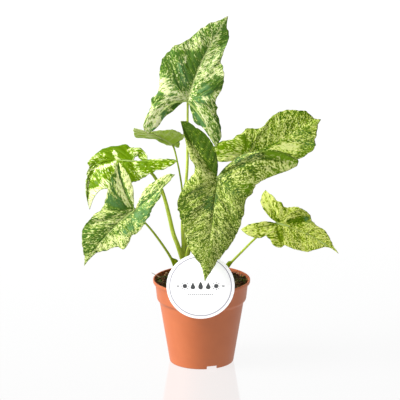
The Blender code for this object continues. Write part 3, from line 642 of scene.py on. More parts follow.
def makeMarbling():
    group, given, result = newGroup("marbling", marblingInputs, [("Color", "Color"), ("Level", "Float")])
    pleats = pleatsOf(group, given)
    fine, medium, coarse = flecksOf(group, given)
    patches = mathOf(group, "MULTIPLY", mathOf(group, "SUBTRACT", medium, 0.5), given["Patches"])
    mixed = mathOf(group, "ADD", mathOf(group, "MULTIPLY", fine, 2.8), patches)
    mixed = mathOf(group, "ADD", mixed, mathOf(group, "MULTIPLY", coarse, 0.6))
    spread = mathOf(group, "MULTIPLY", mathOf(group, "SUBTRACT", given["Green Share"], 0.5), 1.15)
    level = mathOf(group, "ADD", mathOf(group, "SUBTRACT", mixed, 1.2), spread)
    deep = mathOf(group, "ADD", level, pleats)
    colour = tintOf(group, stepOf(group, level, *levelSteps["light"]), given["Cream"], given["Light"])
    colour = tintOf(group, stepOf(group, level, *levelSteps["green"]), colour, given["Green"])
    colour = tintOf(group, stepOf(group, deep, *levelSteps["dark"]), colour, given["Dark"])
    # painted light and shade of the folds: the colour runs from 1.14 to 0.82 times itself across them
    colour = tintOf(group, 1.0, colour, stepOf(group, pleats, -0.28, 0.28, 1.14, 0.82), "MULTIPLY")
    # a bluish tint: partly the leaf's own blue-green, partly painted sheen and shade
    blueTintAndPaintedLight = mathOf(group, "MULTIPLY", given["Blue Share"], stepOf(group, medium, 0.3, 0.65))
    blueTintAndPaintedLight = mathOf(group, "MULTIPLY", blueTintAndPaintedLight, stepOf(group, level, *levelSteps["blue"]))
    plug(group, result["Color"], tintOf(group, blueTintAndPaintedLight, colour, given["Blue"]))
    plug(group, result["Level"], level)
    return group


def leafMaterial(name, tones):
    material, tree, shader = newMaterial(name + "Upper")
    colouring = splitOf(tree, attributeOf(tree, "colouring"))
    form = splitOf(tree, attributeOf(tree, "form"))
    place = splitOf(tree, attributeOf(tree, "place"))
    middleFlow = attributeOf(tree, "middleFlow")
    marbled = useGroup(tree, marbling, {
        "Middle Flow": middleFlow, "Lobe Flow": attributeOf(tree, "lobeFlow"), "Lobe Share": place["X"],
        "Green Share": colouring["X"], "Blue Share": colouring["Y"], "Fleck Scale": tones["flecks"],
        "Streak": tones["streak"], "Pleats": tones["pleats"], "Patches": tones["patches"],
        "Cream": tones["cream"], "Light": tones["light"], "Green": tones["green"], "Dark": tones["dark"],
        "Blue": tones["blue"]})
    # painted light: a glow of light through the leaf brightens its green parts
    glow = mathOf(tree, "MULTIPLY", place["Z"], stepOf(tree, marbled["Level"], 0.40, 0.62))
    colour = tintOf(tree, glow, marbled["Color"], tones["glow"])
    colour = tintOf(tree, mathOf(tree, "MULTIPLY", form["Y"], 0.22), colour, tones["light"])
    rib = mathOf(tree, "POWER", form["X"], 3.0)
    colour = tintOf(tree, mathOf(tree, "MULTIPLY", rib, tones["ribTint"]), colour, tones["rib"])
    margin = mathOf(tree, "MULTIPLY", stepOf(tree, form["Z"], 0.98, 1.0), 0.6)
    colour = tintOf(tree, margin, colour, tones["edge"])
    # painted shade: darker where the shade strokes lie
    colour = tintOf(tree, colouring["Z"], colour, tones["shade"], "MULTIPLY")
    plug(tree, shader["Base Color"], colour)
    cells = noiseOf(tree, middleFlow, 2.2, 2.0, 0.6)
    rough = stepOf(tree, marbled["Level"], 0.2, 0.9, 0.42, 0.30)
    plug(tree, shader["Roughness"], mathOf(tree, "ADD", rough, mathOf(tree, "MULTIPLY", cells, 0.08)))
    skin = mathOf(tree, "ADD", mathOf(tree, "MULTIPLY", cells, 0.5), marbled["Level"])
    plug(tree, shader["Normal"], bumpOf(tree, skin, 0.25, 0.12 * mm))
    leafBody(shader, tones)
    return material


def underMaterial(name, tones):
    # paler, plainer and duller than the upper skin
    material, tree, shader = newMaterial(name + "Under")
    form = splitOf(tree, attributeOf(tree, "form"))
    colouring = splitOf(tree, attributeOf(tree, "colouring"))
    flow = attributeOf(tree, "middleFlow")
    cloudy = noiseOf(tree, flow, 0.26, 4.0, 0.7, 0.6)
    pale = mathOf(tree, "MULTIPLY", stepOf(tree, colouring["X"], 0.9, 0.2), stepOf(tree, cloudy, 0.44, 0.56))
    mottle = mathOf(tree, "MULTIPLY", pale, tones["underMottle"])
    colour = tintOf(tree, mottle, tones["under"], tones["underPale"])
    colour = tintOf(tree, mathOf(tree, "MULTIPLY", form["Y"], 0.35), colour, tones["underPale"])
    colour = tintOf(tree, mathOf(tree, "MULTIPLY", form["X"], 0.6), colour, tones["underPale"])
    plug(tree, shader["Base Color"], colour)
    cells = noiseOf(tree, flow, 1.8, 2.0, 0.6)
    plug(tree, shader["Roughness"], stepOf(tree, cells, 0.3, 0.7, 0.46, 0.56))
    plug(tree, shader["Normal"], bumpOf(tree, cells, 0.3, 0.12 * mm))
    leafBody(shader, tones)
    return material


def leafBody(shader, tones):
    # light that passes a little way through the flesh
    shader["Subsurface Weight"].default_value = 0.08
    shader["Subsurface Radius"].default_value = (0.5, 0.8, 0.2)
    shader["Subsurface Scale"].default_value = 0.35 * mm
    shader["Specular IOR Level"].default_value = tones["gloss"]


# Tones shared by all the leaves; each leaf changes some of them
plainTones = {
    "flecks": 0.45,
    "cream": paint(226, 234, 160),
    "light": paint(184, 202, 92),
    "green": paint(108, 138, 28),
    "dark": paint(62, 94, 4),
    # the bluish tone: partly the leaf's own blue-green, partly painted sheen and shade
    "blue": paint(96, 138, 84),
    # painted light: the tone of the glow of light through the leaf
    "glow": paint(112, 150, 4),
    "rib": paint(190, 206, 112),
    "ribTint": 0.35,
    "edge": paint(104, 112, 16),
    # painted shade: the tone that the shade strokes darken towards
    "shade": paint(190, 196, 176),
    "under": paint(140, 170, 66),
    "underPale": paint(188, 206, 128),
    "gloss": 0.07,
    "pleats": 1.2,
    "streak": 0.5,
    "patches": 1.5,
    "underMottle": 0.7,
}

# Where each leaf is greener; bluer, partly its own blue-green and partly painted sheen and shade; darker with
# painted shade; and brighter with a painted glow of light through it, as strokes through pixels of the front
# picture:
# amount, half width in pixels, then the points
leafLooks = {
    "leaf_top": {
        "green": 0.49, "blue": 0.22,
        "greens": [
            (0.34, 9, (158, 84), (170, 92), (182, 96)), (0.44, 5, (172, 80), (178, 92)),
            (0.68, 9, (168, 64), (182, 54), (200, 40)), (0.74, 8, (164, 64), (176, 54)),
            (0.86, 7, (187, 76), (192, 62), (200, 49)), (0.74, 6, (174, 68), (182, 86)),
            (0.52, 5, (196, 46), (204, 34)), (0.56, 3, (174, 48), (188, 46)),
            (0.3, 1.2, (185.3, 57.5), (185.5, 61)), (0.62, 6, (208, 32), (222, 22)),
            (0.9, 5, (224, 44), (226, 32)), (0.92, 6, (208, 87), (218, 83)),
            (0.8, 6, (198, 96), (206, 92)), (0.3, 2, (203.5, 98), (206, 98)),
            (0.44, 5, (205, 72), (214, 50)), (0.85, 3, (155, 102), (160, 95)),
            (0.85, 2.5, (170, 111), (178, 104)), (0.66, 5, (217, 112), (218, 138)),
            (0.46, 6, (148, 124), (164, 110)), (0.36, 1.8, (195, 104), (203, 118), (210, 132)),
            (0.74, 3, (191, 104), (196, 114), (199, 122)), (0.6, 5, (212, 106), (214, 124)),
        ],
        # the bluish stroke from (180, 64) to (185, 82) is a painted sheen
        "blues": [(0.9, 7, (199, 99), (206, 92)), (0.8, 3, (180, 64), (185, 82)),
                  (0.8, 4, (154, 128), (168, 114)), (0.8, 4, (196, 112), (204, 124)),
                  (0.5, 10, (162, 84), (170, 90))],
        # painted shade: the right half, turned from the light, is darkened
        "paintedShades": [(0.55, 9, (222, 40), (212, 62), (206, 88)), (0.5, 10, (210, 106), (216, 140))],
        "tones": {"cream": paint(228, 233, 182), "light": paint(204, 217, 130), "green": paint(108, 146, 36),
                  "dark": paint(66, 100, 8), "blue": paint(96, 142, 88), "rib": paint(216, 226, 156),
                  "ribTint": 0.75, "flecks": 0.68, "streak": 0.6, "pleats": 1.1},
    },
    "leaf_front": {
        "green": 0.54, "blue": 0.14,
        "greens": [
            (0.96, 9, (189, 126), (200, 136), (211, 152), (216, 168)), (0.96, 4, (184, 124), (191, 137)),
            (0.42, 4.5, (189, 150), (200, 165), (210, 177)), (0.74, 6, (181, 206), (185, 214)),
            (0.75, 4, (208, 206), (212, 200)), (0.66, 5, (228, 184), (238, 190)),
            (0.66, 5, (230, 221), (238, 214)), (0.62, 5, (186, 196), (200, 192)),
            (0.62, 5, (238, 161), (250, 156)), (0.42, 4, (254, 161), (270, 167)),
            (0.75, 3, (262, 156), (272, 159)),
            (0.86, 1.8, (266, 153), (279, 153.5), (289, 158), (296, 163)),
            (0.6, 2, (272, 176), (284, 171)), (0.22, 3, (252, 182), (256, 184)),
            (0.75, 2, (247, 191), (251, 185)), (0.36, 5, (278, 167), (292, 166)),
            (0.58, 4, (205, 262), (205, 276)),
        ],
        # the bluish strip from (237, 160) to (252, 155) is painted shade in a crease
        "blues": [(0.75, 6, (208, 206), (212, 199)), (0.8, 7, (237, 160), (252, 155)),
                  (0.6, 5, (229, 186), (236, 192)), (0.5, 4, (194, 194), (200, 190))],
        "glows": [(0.9, 3, (268, 154), (282, 156), (296, 164)), (0.6, 4, (270, 174), (288, 169)),
                  (0.5, 5, (246, 188), (256, 182))],
        "tones": {"cream": paint(214, 222, 142), "light": paint(178, 194, 88), "green": paint(106, 132, 26),
                  "dark": paint(56, 84, 2), "blue": paint(82, 118, 64), "glow": paint(112, 154, 14),
                  "flecks": 0.8, "rib": paint(96, 124, 28), "ribTint": 0.5, "streak": 0.8, "pleats": 1.1,
                  "patches": 1.3},
    },
    "leaf_right_back": {
        "green": 0.5, "blue": 0.06,
        "greens": [
            (0.58, 4, (214, 150), (224, 146), (234, 144)), (0.24, 3, (212, 157), (222, 158), (236, 156)),
            (0.74, 2.4, (244, 138), (247, 146)), (0.18, 3.2, (264, 151), (282, 146), (296, 148)),
            (0.6, 7, (304, 134), (310, 146)), (0.6, 4, (284, 114), (296, 113), (308, 118)),
            (0.62, 4, (300, 156), (312, 150)), (0.66, 1.4, (258, 153), (272, 145), (290, 139)),
            (0.6, 3, (238, 141), (244, 150)),
        ],
        "blues": [(0.4, 7, (300, 136), (308, 142))],
        "glows": [(1.0, 9, (214, 152), (240, 146)), (0.5, 4, (302, 160), (314, 150))],
        "tones": {"cream": paint(234, 242, 154), "light": paint(198, 218, 80), "green": paint(120, 152, 18),
                  "dark": paint(66, 102, 0), "rib": paint(92, 126, 18), "ribTint": 0.6, "flecks": 0.66,
                  "streak": 0.66, "pleats": 0.8},
    },
    "leaf_right_small": {
        "green": 0.42, "blue": 0.0,
        "greens": [
            (1.0, 1.6, (289, 221.5), (304, 219.5)), (0.95, 2.2, (300, 219.5), (306, 219)),
            (0.7, 2.5, (279, 228), (281, 239)), (0.6, 2, (277, 219), (278, 228)),
            (0.56, 2.5, (272, 224), (282, 224)), (0.28, 3, (268, 196), (266, 204)),
            (0.3, 3, (245, 229), (252, 230)), (0.7, 1.5, (292, 225), (302, 225)),
            (0.5, 2, (283, 226), (292, 234), (304, 240)),
        ],
        "blues": [(0.7, 2, (306, 218), (308, 222))],
        "tones": {"cream": paint(224, 232, 132), "light": paint(190, 206, 74), "green": paint(126, 150, 20),
                  "dark": paint(72, 104, 2), "flecks": 0.66, "rib": paint(118, 146, 14), "ribTint": 0.6,
                  "streak": 0.75, "patches": 0.7, "gloss": 0.03},
    },
    "leaf_left_front": {
        "green": 0.5, "blue": 0.15,
        "greens": [
            (0.74, 3.2, (113, 176), (109, 196)), (0.86, 3.4, (108, 200), (120, 204)),
            (0.9, 2.0, (112, 204), (131, 210)), (0.84, 1.8, (107, 207), (120, 209.5), (131, 210.5)),
            (0.3, 1.0, (107.5, 184), (105.5, 200)),
            (0.2, 2.6, (119.5, 172), (120, 186), (125, 197), (130, 204.5)),
            (0.24, 4, (126, 172), (130, 188), (132.5, 203)),
            (0.95, 0.6, (118.5, 166), (119.5, 175), (126.5, 193), (133.5, 208.5)),
            (0.4, 2, (103, 204), (107, 212)), (0.8, 4, (88, 220), (84, 234)),
            (0.78, 4, (94, 236), (102, 231)), (0.7, 4, (85, 240), (86, 248)),
            (0.8, 2.5, (107, 216), (114, 215)), (0.5, 4, (116, 218), (130, 213)),
            (0.44, 5, (106, 244), (124, 236)), (0.82, 5, (138, 216), (146, 212)),
            (0.76, 3, (126, 230), (131, 226)), (0.6, 4, (143, 204), (154, 194)),
            (0.62, 3, (156, 197), (159, 192)), (0.75, 2.5, (149, 213), (154, 204)),
            (0.4, 4, (142, 194), (154, 182), (166, 176)), (0.3, 3, (147, 226), (142, 231)),
            (0.72, 0.7, (134, 211), (118, 224), (104, 236), (90, 252)),
        ],
        "blues": [(0.9, 8, (137, 217), (146, 213)), (0.85, 4, (126, 231), (131, 227)),
                  (0.85, 5, (143, 204), (156, 193)), (0.7, 5, (110, 184), (108, 198), (118, 203)),
                  (0.5, 3, (120, 172), (128, 196))],
        "tones": {"cream": paint(230, 238, 168), "light": paint(198, 214, 112), "green": paint(104, 138, 36),
                  "dark": paint(64, 100, 14), "blue": paint(98, 144, 86), "rib": paint(150, 176, 66),
                  "ribTint": 0.4, "flecks": 0.84, "streak": 0.5, "pleats": 0.9},
    },
    "leaf_left_back": {
        # painted light: a glow of light through the whole leaf
        "green": 0.52, "blue": 0.0, "glow": 0.4,
        "greens": [
            (1.0, 7, (104, 156), (114, 151), (128, 153)), (0.3, 1.6, (114, 152), (117, 159)),
            (0.7, 4, (95, 164), (100, 158)), (0.6, 3, (98, 158), (103, 156)),
            (0.22, 1.0, (90, 171), (104, 167), (118, 162)), (0.6, 4, (94, 174), (110, 173)),
            (0.8, 3, (94, 185), (99, 183)), (0.24, 5, (94, 198), (104, 186)),
            (0.12, 4, (90, 204), (94, 194)), (0.5, 1.5, (86.5, 182), (86.5, 198)),
            (0.86, 7, (124, 166), (130, 178)), (0.84, 5, (144, 165), (156, 166)),
            (0.5, 2.4, (137, 168), (139, 176)), (0.6, 3, (158, 165), (172, 162)),
            (0.52, 3, (130, 151), (142, 152)),
        ],
        "tones": {"cream": paint(236, 242, 190), "light": paint(180, 206, 64), "green": paint(106, 140, 0),
                  "dark": paint(74, 106, 0), "blue": paint(176, 210, 140), "rib": paint(206, 220, 120),
                  "ribTint": 0.25, "flecks": 0.62, "streak": 0.66, "pleats": 1.0},
    },
    "leaf_small": {
        "green": 0.6, "blue": 0.1, "upperFaces": 1,
        "greens": [(0.2, 4, (137, 131), (150, 135)), (1.0, 3.5, (163, 141), (178, 144))],
        "tones": {"cream": paint(226, 236, 160), "light": paint(196, 212, 110), "under": paint(154, 182, 56),
                  "underPale": paint(206, 218, 150), "underMottle": 1.0},
    },
}


# Each stalk: pixels right, pixels down and depth in millimetres, from just under its blade down to its foot
stalks = {
    "leaf_top": [(187.6, 112, 8), (187.5, 130, 9), (187.5, 152, 8), (187, 170, 7), (184.6, 198, 5),
                 (182.6, 222, 3), (183.2, 243, 2)],
    "leaf_front": [(215.5, 188, -38), (208, 207, -25), (198, 228, -12), (189.5, 245, -5), (186.8, 254, -3)],
    "leaf_right_back": [(243.5, 165, 24), (232, 190, 17), (213, 220, 10), (196, 241, 6), (188.8, 252, 4)],
    "leaf_left_back": [(142, 166, 14), (151.2, 172.8, 12), (156.3, 179.5, 10), (160.8, 187.4, 8),
                       (165.2, 200.3, 5), (169.2, 216, 2), (173.4, 233.7, -1), (178.4, 247, -2)],
    "leaf_small": [(175, 151.5, 22), (177.5, 162.5, 19), (179.8, 174, 16), (182, 189, 13), (184.6, 215, 10),
                   (186, 240, 7)],
    "leaf_right_small": [(268, 229.8, -12), (256, 237.8, -8), (241.3, 252.2, -2), (232, 261.6, 1),
                         (227.3, 267.5, 3)],
    "leaf_left_front": [(139.8, 217.5, -27), (148.6, 226.6, -21), (156.9, 237, -16), (165.2, 248.7, -10),
                        (171, 258, -5), (174.6, 266, -1)],
}

# Radius under the blade and at the foot in millimetres; where the groove faces at both ends, in degrees from
# the viewer to the right; the sheath's share of the length from the foot, how far its keel flares, over what
# share of the sheath it opens and where it faces, in degrees from the right towards the viewer; and how pale
# the stalk and its sheath are
stalkForms = {
    "leaf_top": {"radii": (1.25, 2.7), "groove": (60, 40), "sheath": 0.24, "flare": 0.4, "keel": 160,
                 "pale": 0.9},
    "leaf_front": {"radii": (1.3, 2.1), "groove": (0, 30), "sheath": 0.30, "flare": 0.4, "keel": 320,
                   "pale": 1.0},
    "leaf_right_back": {"radii": (1.2, 2.0), "groove": (200, 160), "sheath": 0.30, "flare": 0.4, "keel": 240,
                        "pale": 0.6},
    "leaf_left_back": {"radii": (1.6, 3.4), "groove": (85, 30), "sheath": 0.20, "flare": 0.2, "keel": 240,
                       "pale": 0.75},
    "leaf_small": {"radii": (0.95, 1.7), "groove": (80, 60), "sheath": 0.22, "flare": 0.3, "keel": 270,
                   "pale": 0.3},
    "leaf_right_small": {"radii": (1.1, 1.8), "groove": (120, 150), "sheath": 0.334, "flare": 2.4,
                         "opens": 0.07, "keel": 165, "pale": 0.5, "sheathPale": -0.45},
    "leaf_left_front": {"radii": (1.1, 1.9), "groove": (150, 120), "sheath": 0.344, "flare": 4.6,
                        "opens": 0.17, "keel": 12, "pale": 0.3, "sheathPale": -0.3},
}

# Crowns that the stalks rise from: place on the soil, radius and height, in millimetres
crowns = {
    "stalks_centre": {
        "at": (-20.5, 1.5), "radius": 6.6, "topRadius": 5.2, "top": 120,
        "stalks": ["leaf_top", "leaf_front", "leaf_right_back", "leaf_left_back", "leaf_small"],
    },
    "stalk_right": {"at": (24, 5), "radius": 3.4, "topRadius": 2.4, "top": 110,
                    "stalks": ["leaf_right_small"]},
    "stalk_left": {"at": (-31.5, 4), "radius": 3.4, "topRadius": 2.4, "top": 112,
                   "stalks": ["leaf_left_front"]},
}

# How finely stalks, sheaths and crowns are made; a sheath's wall in millimetres, its open gap in radians and
# how many steps of the stalk stay bare under it; and where stalks begin and end, in millimetres
stalkGrid = {"sides": 20, "steps": 110, "sheathSides": 22, "sheathSteps": 40, "sheathWall": 0.35,
             "sheathGap": 0.35, "bareSteps": 8, "crownSides": 40, "crownSteps": 30, "crownBottom": 90,
             "joinUnder": 0.9}

# How a stalk swells under its blade, in millimetres and share of its length; its groove's depth as a share of
# the radius and width in radians; its fine ridges; and the keel's width and a sheath's fit, in radians and
# millimetres
stalkRelief = {"swell": 0.35, "swellShare": 0.03, "grooveDepth": 0.16, "grooveWidth": 0.45, "ridges": 9,
               "ridgeHeight": 0.015, "keelWidth": 0.62, "sheathFit": 0.05, "sheathSwell": 0.4}


def pathFrames(path, start):
    # across and over directions carried along the path without twisting
    ahead = np.gradient(path, axis=0)
    ahead /= np.linalg.norm(ahead, axis=1)[:, None]
    across = np.cross(np.array(start, float), ahead[0])
    frames = []
    for direction in ahead:
        across = across - direction * (across @ direction)
        across /= np.linalg.norm(across)
        frames.append((across, np.cross(direction, across)))
    return frames


def sweepGrid(bm, layer, path, radiusAt, sides, span=(0, 2 * math.pi)):
    # a sheet wrapped round a path, in columns round it and rows along it
    frames = pathFrames(path, (0, -1, 0))
    steps = len(path) - 1
    length = np.concatenate([[0], np.cumsum(np.linalg.norm(np.diff(path, axis=0), axis=1))]) / mm
    made = bmesh.ops.create_grid(bm, x_segments=sides, y_segments=steps, size=1)["verts"]
    for vert in made:
        turn = span[0] + (vert.co.x + 1) / 2 * (span[1] - span[0])
        row = round((vert.co.y + 1) / 2 * steps)
        across, over = frames[row]
        radius = radiusAt(turn, row / steps)
        vert.co = Vector(path[row] + (across * math.cos(turn) + over * math.sin(turn)) * radius)
        vert[layer["growth"]] = (turn / (2 * math.pi), length[row], row / steps)
    return made


def closeEnds(bm, verts):
    inside = set(verts)
    bmesh.ops.remove_doubles(bm, verts=verts, dist=0.01 * mm)
    edges = [edge for edge in bm.edges if edge.is_boundary and edge.verts[0] in inside]
    bmesh.ops.holes_fill(bm, edges=edges, sides=0)


def stalkRoute(name, foot):
    # from the blade's own joint down to its crown
    points, _ = layBlade(leaves[name])
    joint = points[0, 0]
    columns = [column - 1 for column in ribColumns()]
    ribs = points[bladeGrid["rows"] // 5, columns] - joint
    under = np.cross(ribs[0], ribs[1]) + np.cross(ribs[1], ribs[2])
    under /= np.linalg.norm(under)
    route = [seen(right, down, depth * mm) for right, down, depth in stalks[name]]
    if under @ (route[0] - joint) < 0:
        under = -under
    return smoothPath([joint + under * stalkGrid["joinUnder"] * mm, *route, *foot], stalkGrid["steps"])


def grooveTurn(degrees):
    # the turn round a stalk that faces this way, in degrees from the viewer to the right
    return -math.radians(degrees)


def addStalk(bm, layer, name, foot):
    form = stalkForms[name]
    relief = stalkRelief
    top, bottom = form["radii"]
    path = stalkRoute(name, foot)

    def grooveOff(turn, share):
        first, last = form["groove"]
        return math.remainder(turn - grooveTurn(first + (last - first) * share), 2 * math.pi)

    def radiusAt(turn, share):
        swell = relief["swell"] * math.exp(-share / relief["swellShare"])
        groove = relief["grooveDepth"] * math.exp(-(grooveOff(turn, share) / relief["grooveWidth"]) ** 2)
        ridges = relief["ridgeHeight"] * math.cos(relief["ridges"] * turn)
        return (top + (bottom - top) * share + swell) * (1 - groove + ridges) * mm

    tube = sweepGrid(bm, layer, path, radiusAt, stalkGrid["sides"])
    for vert in tube:
        turns, length, share = vert[layer["growth"]]
        vert[layer["growth"]] = (grooveOff(turns * 2 * math.pi, share) / (2 * math.pi), length, share)
        vert[layer["pale"]] = form["pale"]
    closeEnds(bm, tube)
    addSheath(bm, layer, path, form)


def addSheath(bm, layer, path, form):
    # a thin wrap open at the back of its keel, which flares out a little below its top
    relief = stalkRelief
    top, bottom = form["radii"]
    start = int(len(path) * (1 - form["sheath"]))
    stretch = smoothPath(path[start:-stalkGrid["bareSteps"]], stalkGrid["sheathSteps"])
    keel = math.radians(form["keel"])
    opens = form.get("opens", 0.12)

    def radiusAt(turn, share):
        whole = 1 - form["sheath"] * (1 - share)
        radius = top + (bottom - top) * whole + relief["sheathFit"]
        radius += relief["sheathSwell"] * ease(share, 0.0, 0.3)
        off = math.remainder(turn - keel, 2 * math.pi)
        rise = ease(share, 0.0, opens) * (1 - 0.55 * ease(share, 0.3, 1.0))
        return (radius + form["flare"] * rise * math.exp(-(off / relief["keelWidth"]) ** 2)) * mm

    gap = stalkGrid["sheathGap"]
    span = (keel - math.pi + gap, keel + math.pi - gap)
    wrap = sweepGrid(bm, layer, stretch, radiusAt, stalkGrid["sheathSides"], span)
    for vert in wrap:
        vert[layer["pale"]] = form.get("sheathPale", form["pale"] * 0.6)
    faces = list({face for vert in wrap for face in vert.link_faces})
    bmesh.ops.recalc_face_normals(bm, faces=faces)
    bmesh.ops.solidify(bm, geom=faces, thickness=stalkGrid["sheathWall"] * mm)


def addCrown(bm, layer, crown):
    # overlapping leaf bases, gathered and ribbed, from in the soil to a rounded top
    x, y = potX + crown["at"][0] * mm, potY + crown["at"][1] * mm
    low, high = stalkGrid["crownBottom"], crown["top"]
    steps = stalkGrid["crownSteps"]
    path = np.column_stack([np.full(steps, x), np.full(steps, y), np.linspace(high, low, steps) * mm])

    def radiusAt(turn, share):
        radius = crown["topRadius"] + (crown["radius"] - crown["topRadius"]) * ease(share, 0.0, 0.8)
        dome = math.sqrt(max(0.0, 1 - (1 - min(share / 0.12, 1)) ** 2))
        folds = 1 - 0.08 * abs(math.sin(2.5 * turn + 3 * share)) + 0.02 * math.cos(14 * turn)
        return max(0.05, radius * dome * folds) * mm

    base = sweepGrid(bm, layer, path, radiusAt, stalkGrid["crownSides"])
    for vert in base:
        vert[layer["pale"]] = 0.4
    closeEnds(bm, base)


def growthLayers(bm):
    # round, along and share of the length; and how pale the place is
    return {"growth": bm.verts.layers.float_vector.new("growth"), "pale": bm.verts.layers.float.new("pale")}


def makeStalks(nodeName, crown):
    bm = bmesh.new()
    layer = growthLayers(bm)
    x, y = potX + crown["at"][0] * mm, potY + crown["at"][1] * mm
    foot = [(x, y, (crown["top"] - 4) * mm), (x, y, stalkGrid["crownBottom"] * mm)]
    for name in crown["stalks"]:
        addStalk(bm, layer, name, foot)
    addCrown(bm, layer, crown)
    bmesh.ops.recalc_face_normals(bm, faces=bm.faces)
    meshObject(camel(nodeName), bm, [stalkGreen], "stalk", nodeName)


def stalkMaterial():
    # fine lengthwise streaks, painted shade along the groove, and a paler stretch under the blade
    material, tree, shader = newMaterial("stalkGreen")
    growth = attributeOf(tree, "growth")
    pale = attributeOf(tree, "pale", "Fac")
    parts = splitOf(tree, growth)
    streaks = noiseOf(tree, stretchOf(tree, growth, (9.0, 0.05, 0.0)), 2.0, 3.0, 0.6)
    clouds = noiseOf(tree, stretchOf(tree, growth, (1.5, 0.06, 0.0)), 1.0, 2.0, 0.5)
    deep = tintOf(tree, stepOf(tree, streaks, 0.35, 0.68), paint(156, 180, 22), paint(122, 148, 4))
    light = tintOf(tree, stepOf(tree, streaks, 0.35, 0.68), paint(214, 228, 110), paint(180, 200, 60))
    shift = mathOf(tree, "MULTIPLY", mathOf(tree, "SUBTRACT", clouds, 0.5), 0.5)
    colour = tintOf(tree, mathOf(tree, "ADD", pale, shift), deep, light)
    colour = tintOf(tree, stepOf(tree, pale, 0.0, -1.0), colour, paint(98, 122, 0))
    # painted shade: the groove darkens as a shaded crease would
    grooveShade = stepOf(tree, mathOf(tree, "ABSOLUTE", parts["X"]), 0.12, 0.02)
    colour = tintOf(tree, mathOf(tree, "MULTIPLY", grooveShade, 0.75), colour, paint(100, 122, 2))
    lowest = mathOf(tree, "MULTIPLY", stepOf(tree, parts["Z"], 0.55, 0.8), 0.45)
    colour = tintOf(tree, lowest, colour, paint(148, 170, 6))
    plug(tree, shader["Base Color"], colour)
    plug(tree, shader["Roughness"], stepOf(tree, streaks, 0.3, 0.7, 0.32, 0.44))
    plug(tree, shader["Normal"], bumpOf(tree, streaks, 0.2, 0.15 * mm))
    shader["Subsurface Weight"].default_value = 0.1
    shader["Subsurface Radius"].default_value = (0.6, 0.9, 0.2)
    shader["Subsurface Scale"].default_value = 0.8 * mm
    shader["Specular IOR Level"].default_value = 0.1
    return material


# Pot

potForm = {
    "rim": 60, "height": 105, "foot": 39.4, "wall": 1.1, "lip": 4, "wallTop": 52, "collarLow": 55,
    "collarHigh": 57.2, "collarBottom": 80, "step": 3, "floor": 4.6, "sides": 180,
    "notchWidth": 13.5, "notchHeight": 4.0, "notchDepth": 8, "notchRound": 0.8, "notchTurn": 19,
    "notches": 3, "holeRadius": 4.5, "holeDepth": 6, "holeRing": 24, "holes": 6, "sharpFrom": 38,
}


def potOuter(height):
    form = potForm
    stepBottom = form["collarBottom"] - form["step"]
    lipBottom = form["height"] - form["lip"]
    if height <= stepBottom:
        return form["foot"] + (form["wallTop"] - form["foot"]) * height / stepBottom
    if height <= form["collarBottom"]:
        return form["wallTop"] + (form["collarLow"] - form["wallTop"]) * (height - stepBottom) / form["step"]
    share = min(1, (height - form["collarBottom"]) / (lipBottom - form["collarBottom"]))
    return form["collarLow"] + (form["collarHigh"] - form["collarLow"]) * share


def softened(corners, steps=5):
    # a closed outline of (radius, height, corner size) with each corner turned through a small curve
    outline = []
    count = len(corners)
    for k, (x, z, size) in enumerate(corners):
        here = Vector((x, z))
        before = Vector(corners[k - 1][:2]) - here
        after = Vector(corners[(k + 1) % count][:2]) - here
        if size <= 0:
            outline.append(here)
            continue
        start = here + before.normalized() * min(size, before.length * 0.45)
        end = here + after.normalized() * min(size, after.length * 0.45)
        for step in range(steps + 1):
            t = step / steps
            outline.append(start * (1 - t) ** 2 + here * 2 * t * (1 - t) + end * t * t)
    return outline


def turned(bm, outline, sides, closed=True):
    verts = [bm.verts.new((point[0] * mm, 0, point[1] * mm)) for point in outline]
    pairs = list(zip(verts, verts[1:])) + ([(verts[-1], verts[0])] if closed else [])
    edges = [bm.edges.new(pair) for pair in pairs]
    bmesh.ops.spin(bm, geom=verts + edges, cent=(0, 0, 0), axis=(0, 0, 1), angle=2 * math.pi, steps=sides,
                   use_merge=True, use_duplicate=False)
    bmesh.ops.remove_doubles(bm, verts=bm.verts, dist=0.005 * mm)
    bmesh.ops.recalc_face_normals(bm, faces=bm.faces)
    bmesh.ops.translate(bm, verts=bm.verts, vec=(potX, potY, 0))


def potOutline():
    form = potForm
    rim, top, wall = form["rim"], form["height"], form["wall"]
    collar, foot, floor = form["collarBottom"], form["foot"], form["floor"]
    lipBottom, stepBottom = top - form["lip"], collar - form["step"]
    outside = [(rim - 1.7, top, 0.6), (rim, top, 0.9), (rim - 0.2, lipBottom, 0.7),
               (potOuter(lipBottom) + 0.1, lipBottom - 0.6, 0.8), (potOuter(collar), collar, 1.8),
               (potOuter(stepBottom), stepBottom, 1.8), (foot, 0, 1.6)]
    underside = [(foot - 2.4, 0, 0.5), (foot - 2.4, floor - wall, 0.8), (0, floor - wall, 0), (0, floor, 0)]
    inside = [(potOuter(floor) - wall, floor, 1.5), (potOuter(stepBottom) - wall, stepBottom, 1.2),
              (potOuter(collar) - wall, collar, 1.0), (potOuter(lipBottom) - wall, lipBottom - 2, 1.0)]
    return softened(outside + underside + inside)


def cutAway(piece, cutters):
    for cutter in cutters:
        boolean = piece.modifiers.new("cut", "BOOLEAN")
        boolean.operation = "DIFFERENCE"
        boolean.object = cutter
    depsgraph = bpy.context.evaluated_depsgraph_get()
    mesh = bpy.data.meshes.new_from_object(piece.evaluated_get(depsgraph))
    piece.modifiers.clear()
    piece.data = mesh
    for cutter in cutters:
        bpy.data.objects.remove(cutter, do_unlink=True)


def cutterFrom(bm, name, turn):
    bmesh.ops.transform(bm, matrix=turn, verts=bm.verts)
    mesh = bpy.data.meshes.new(name)
    bm.to_mesh(mesh)
    bm.free()
    cutter = bpy.data.objects.new(name, mesh)
    bpy.context.scene.collection.objects.link(cutter)
    return cutter


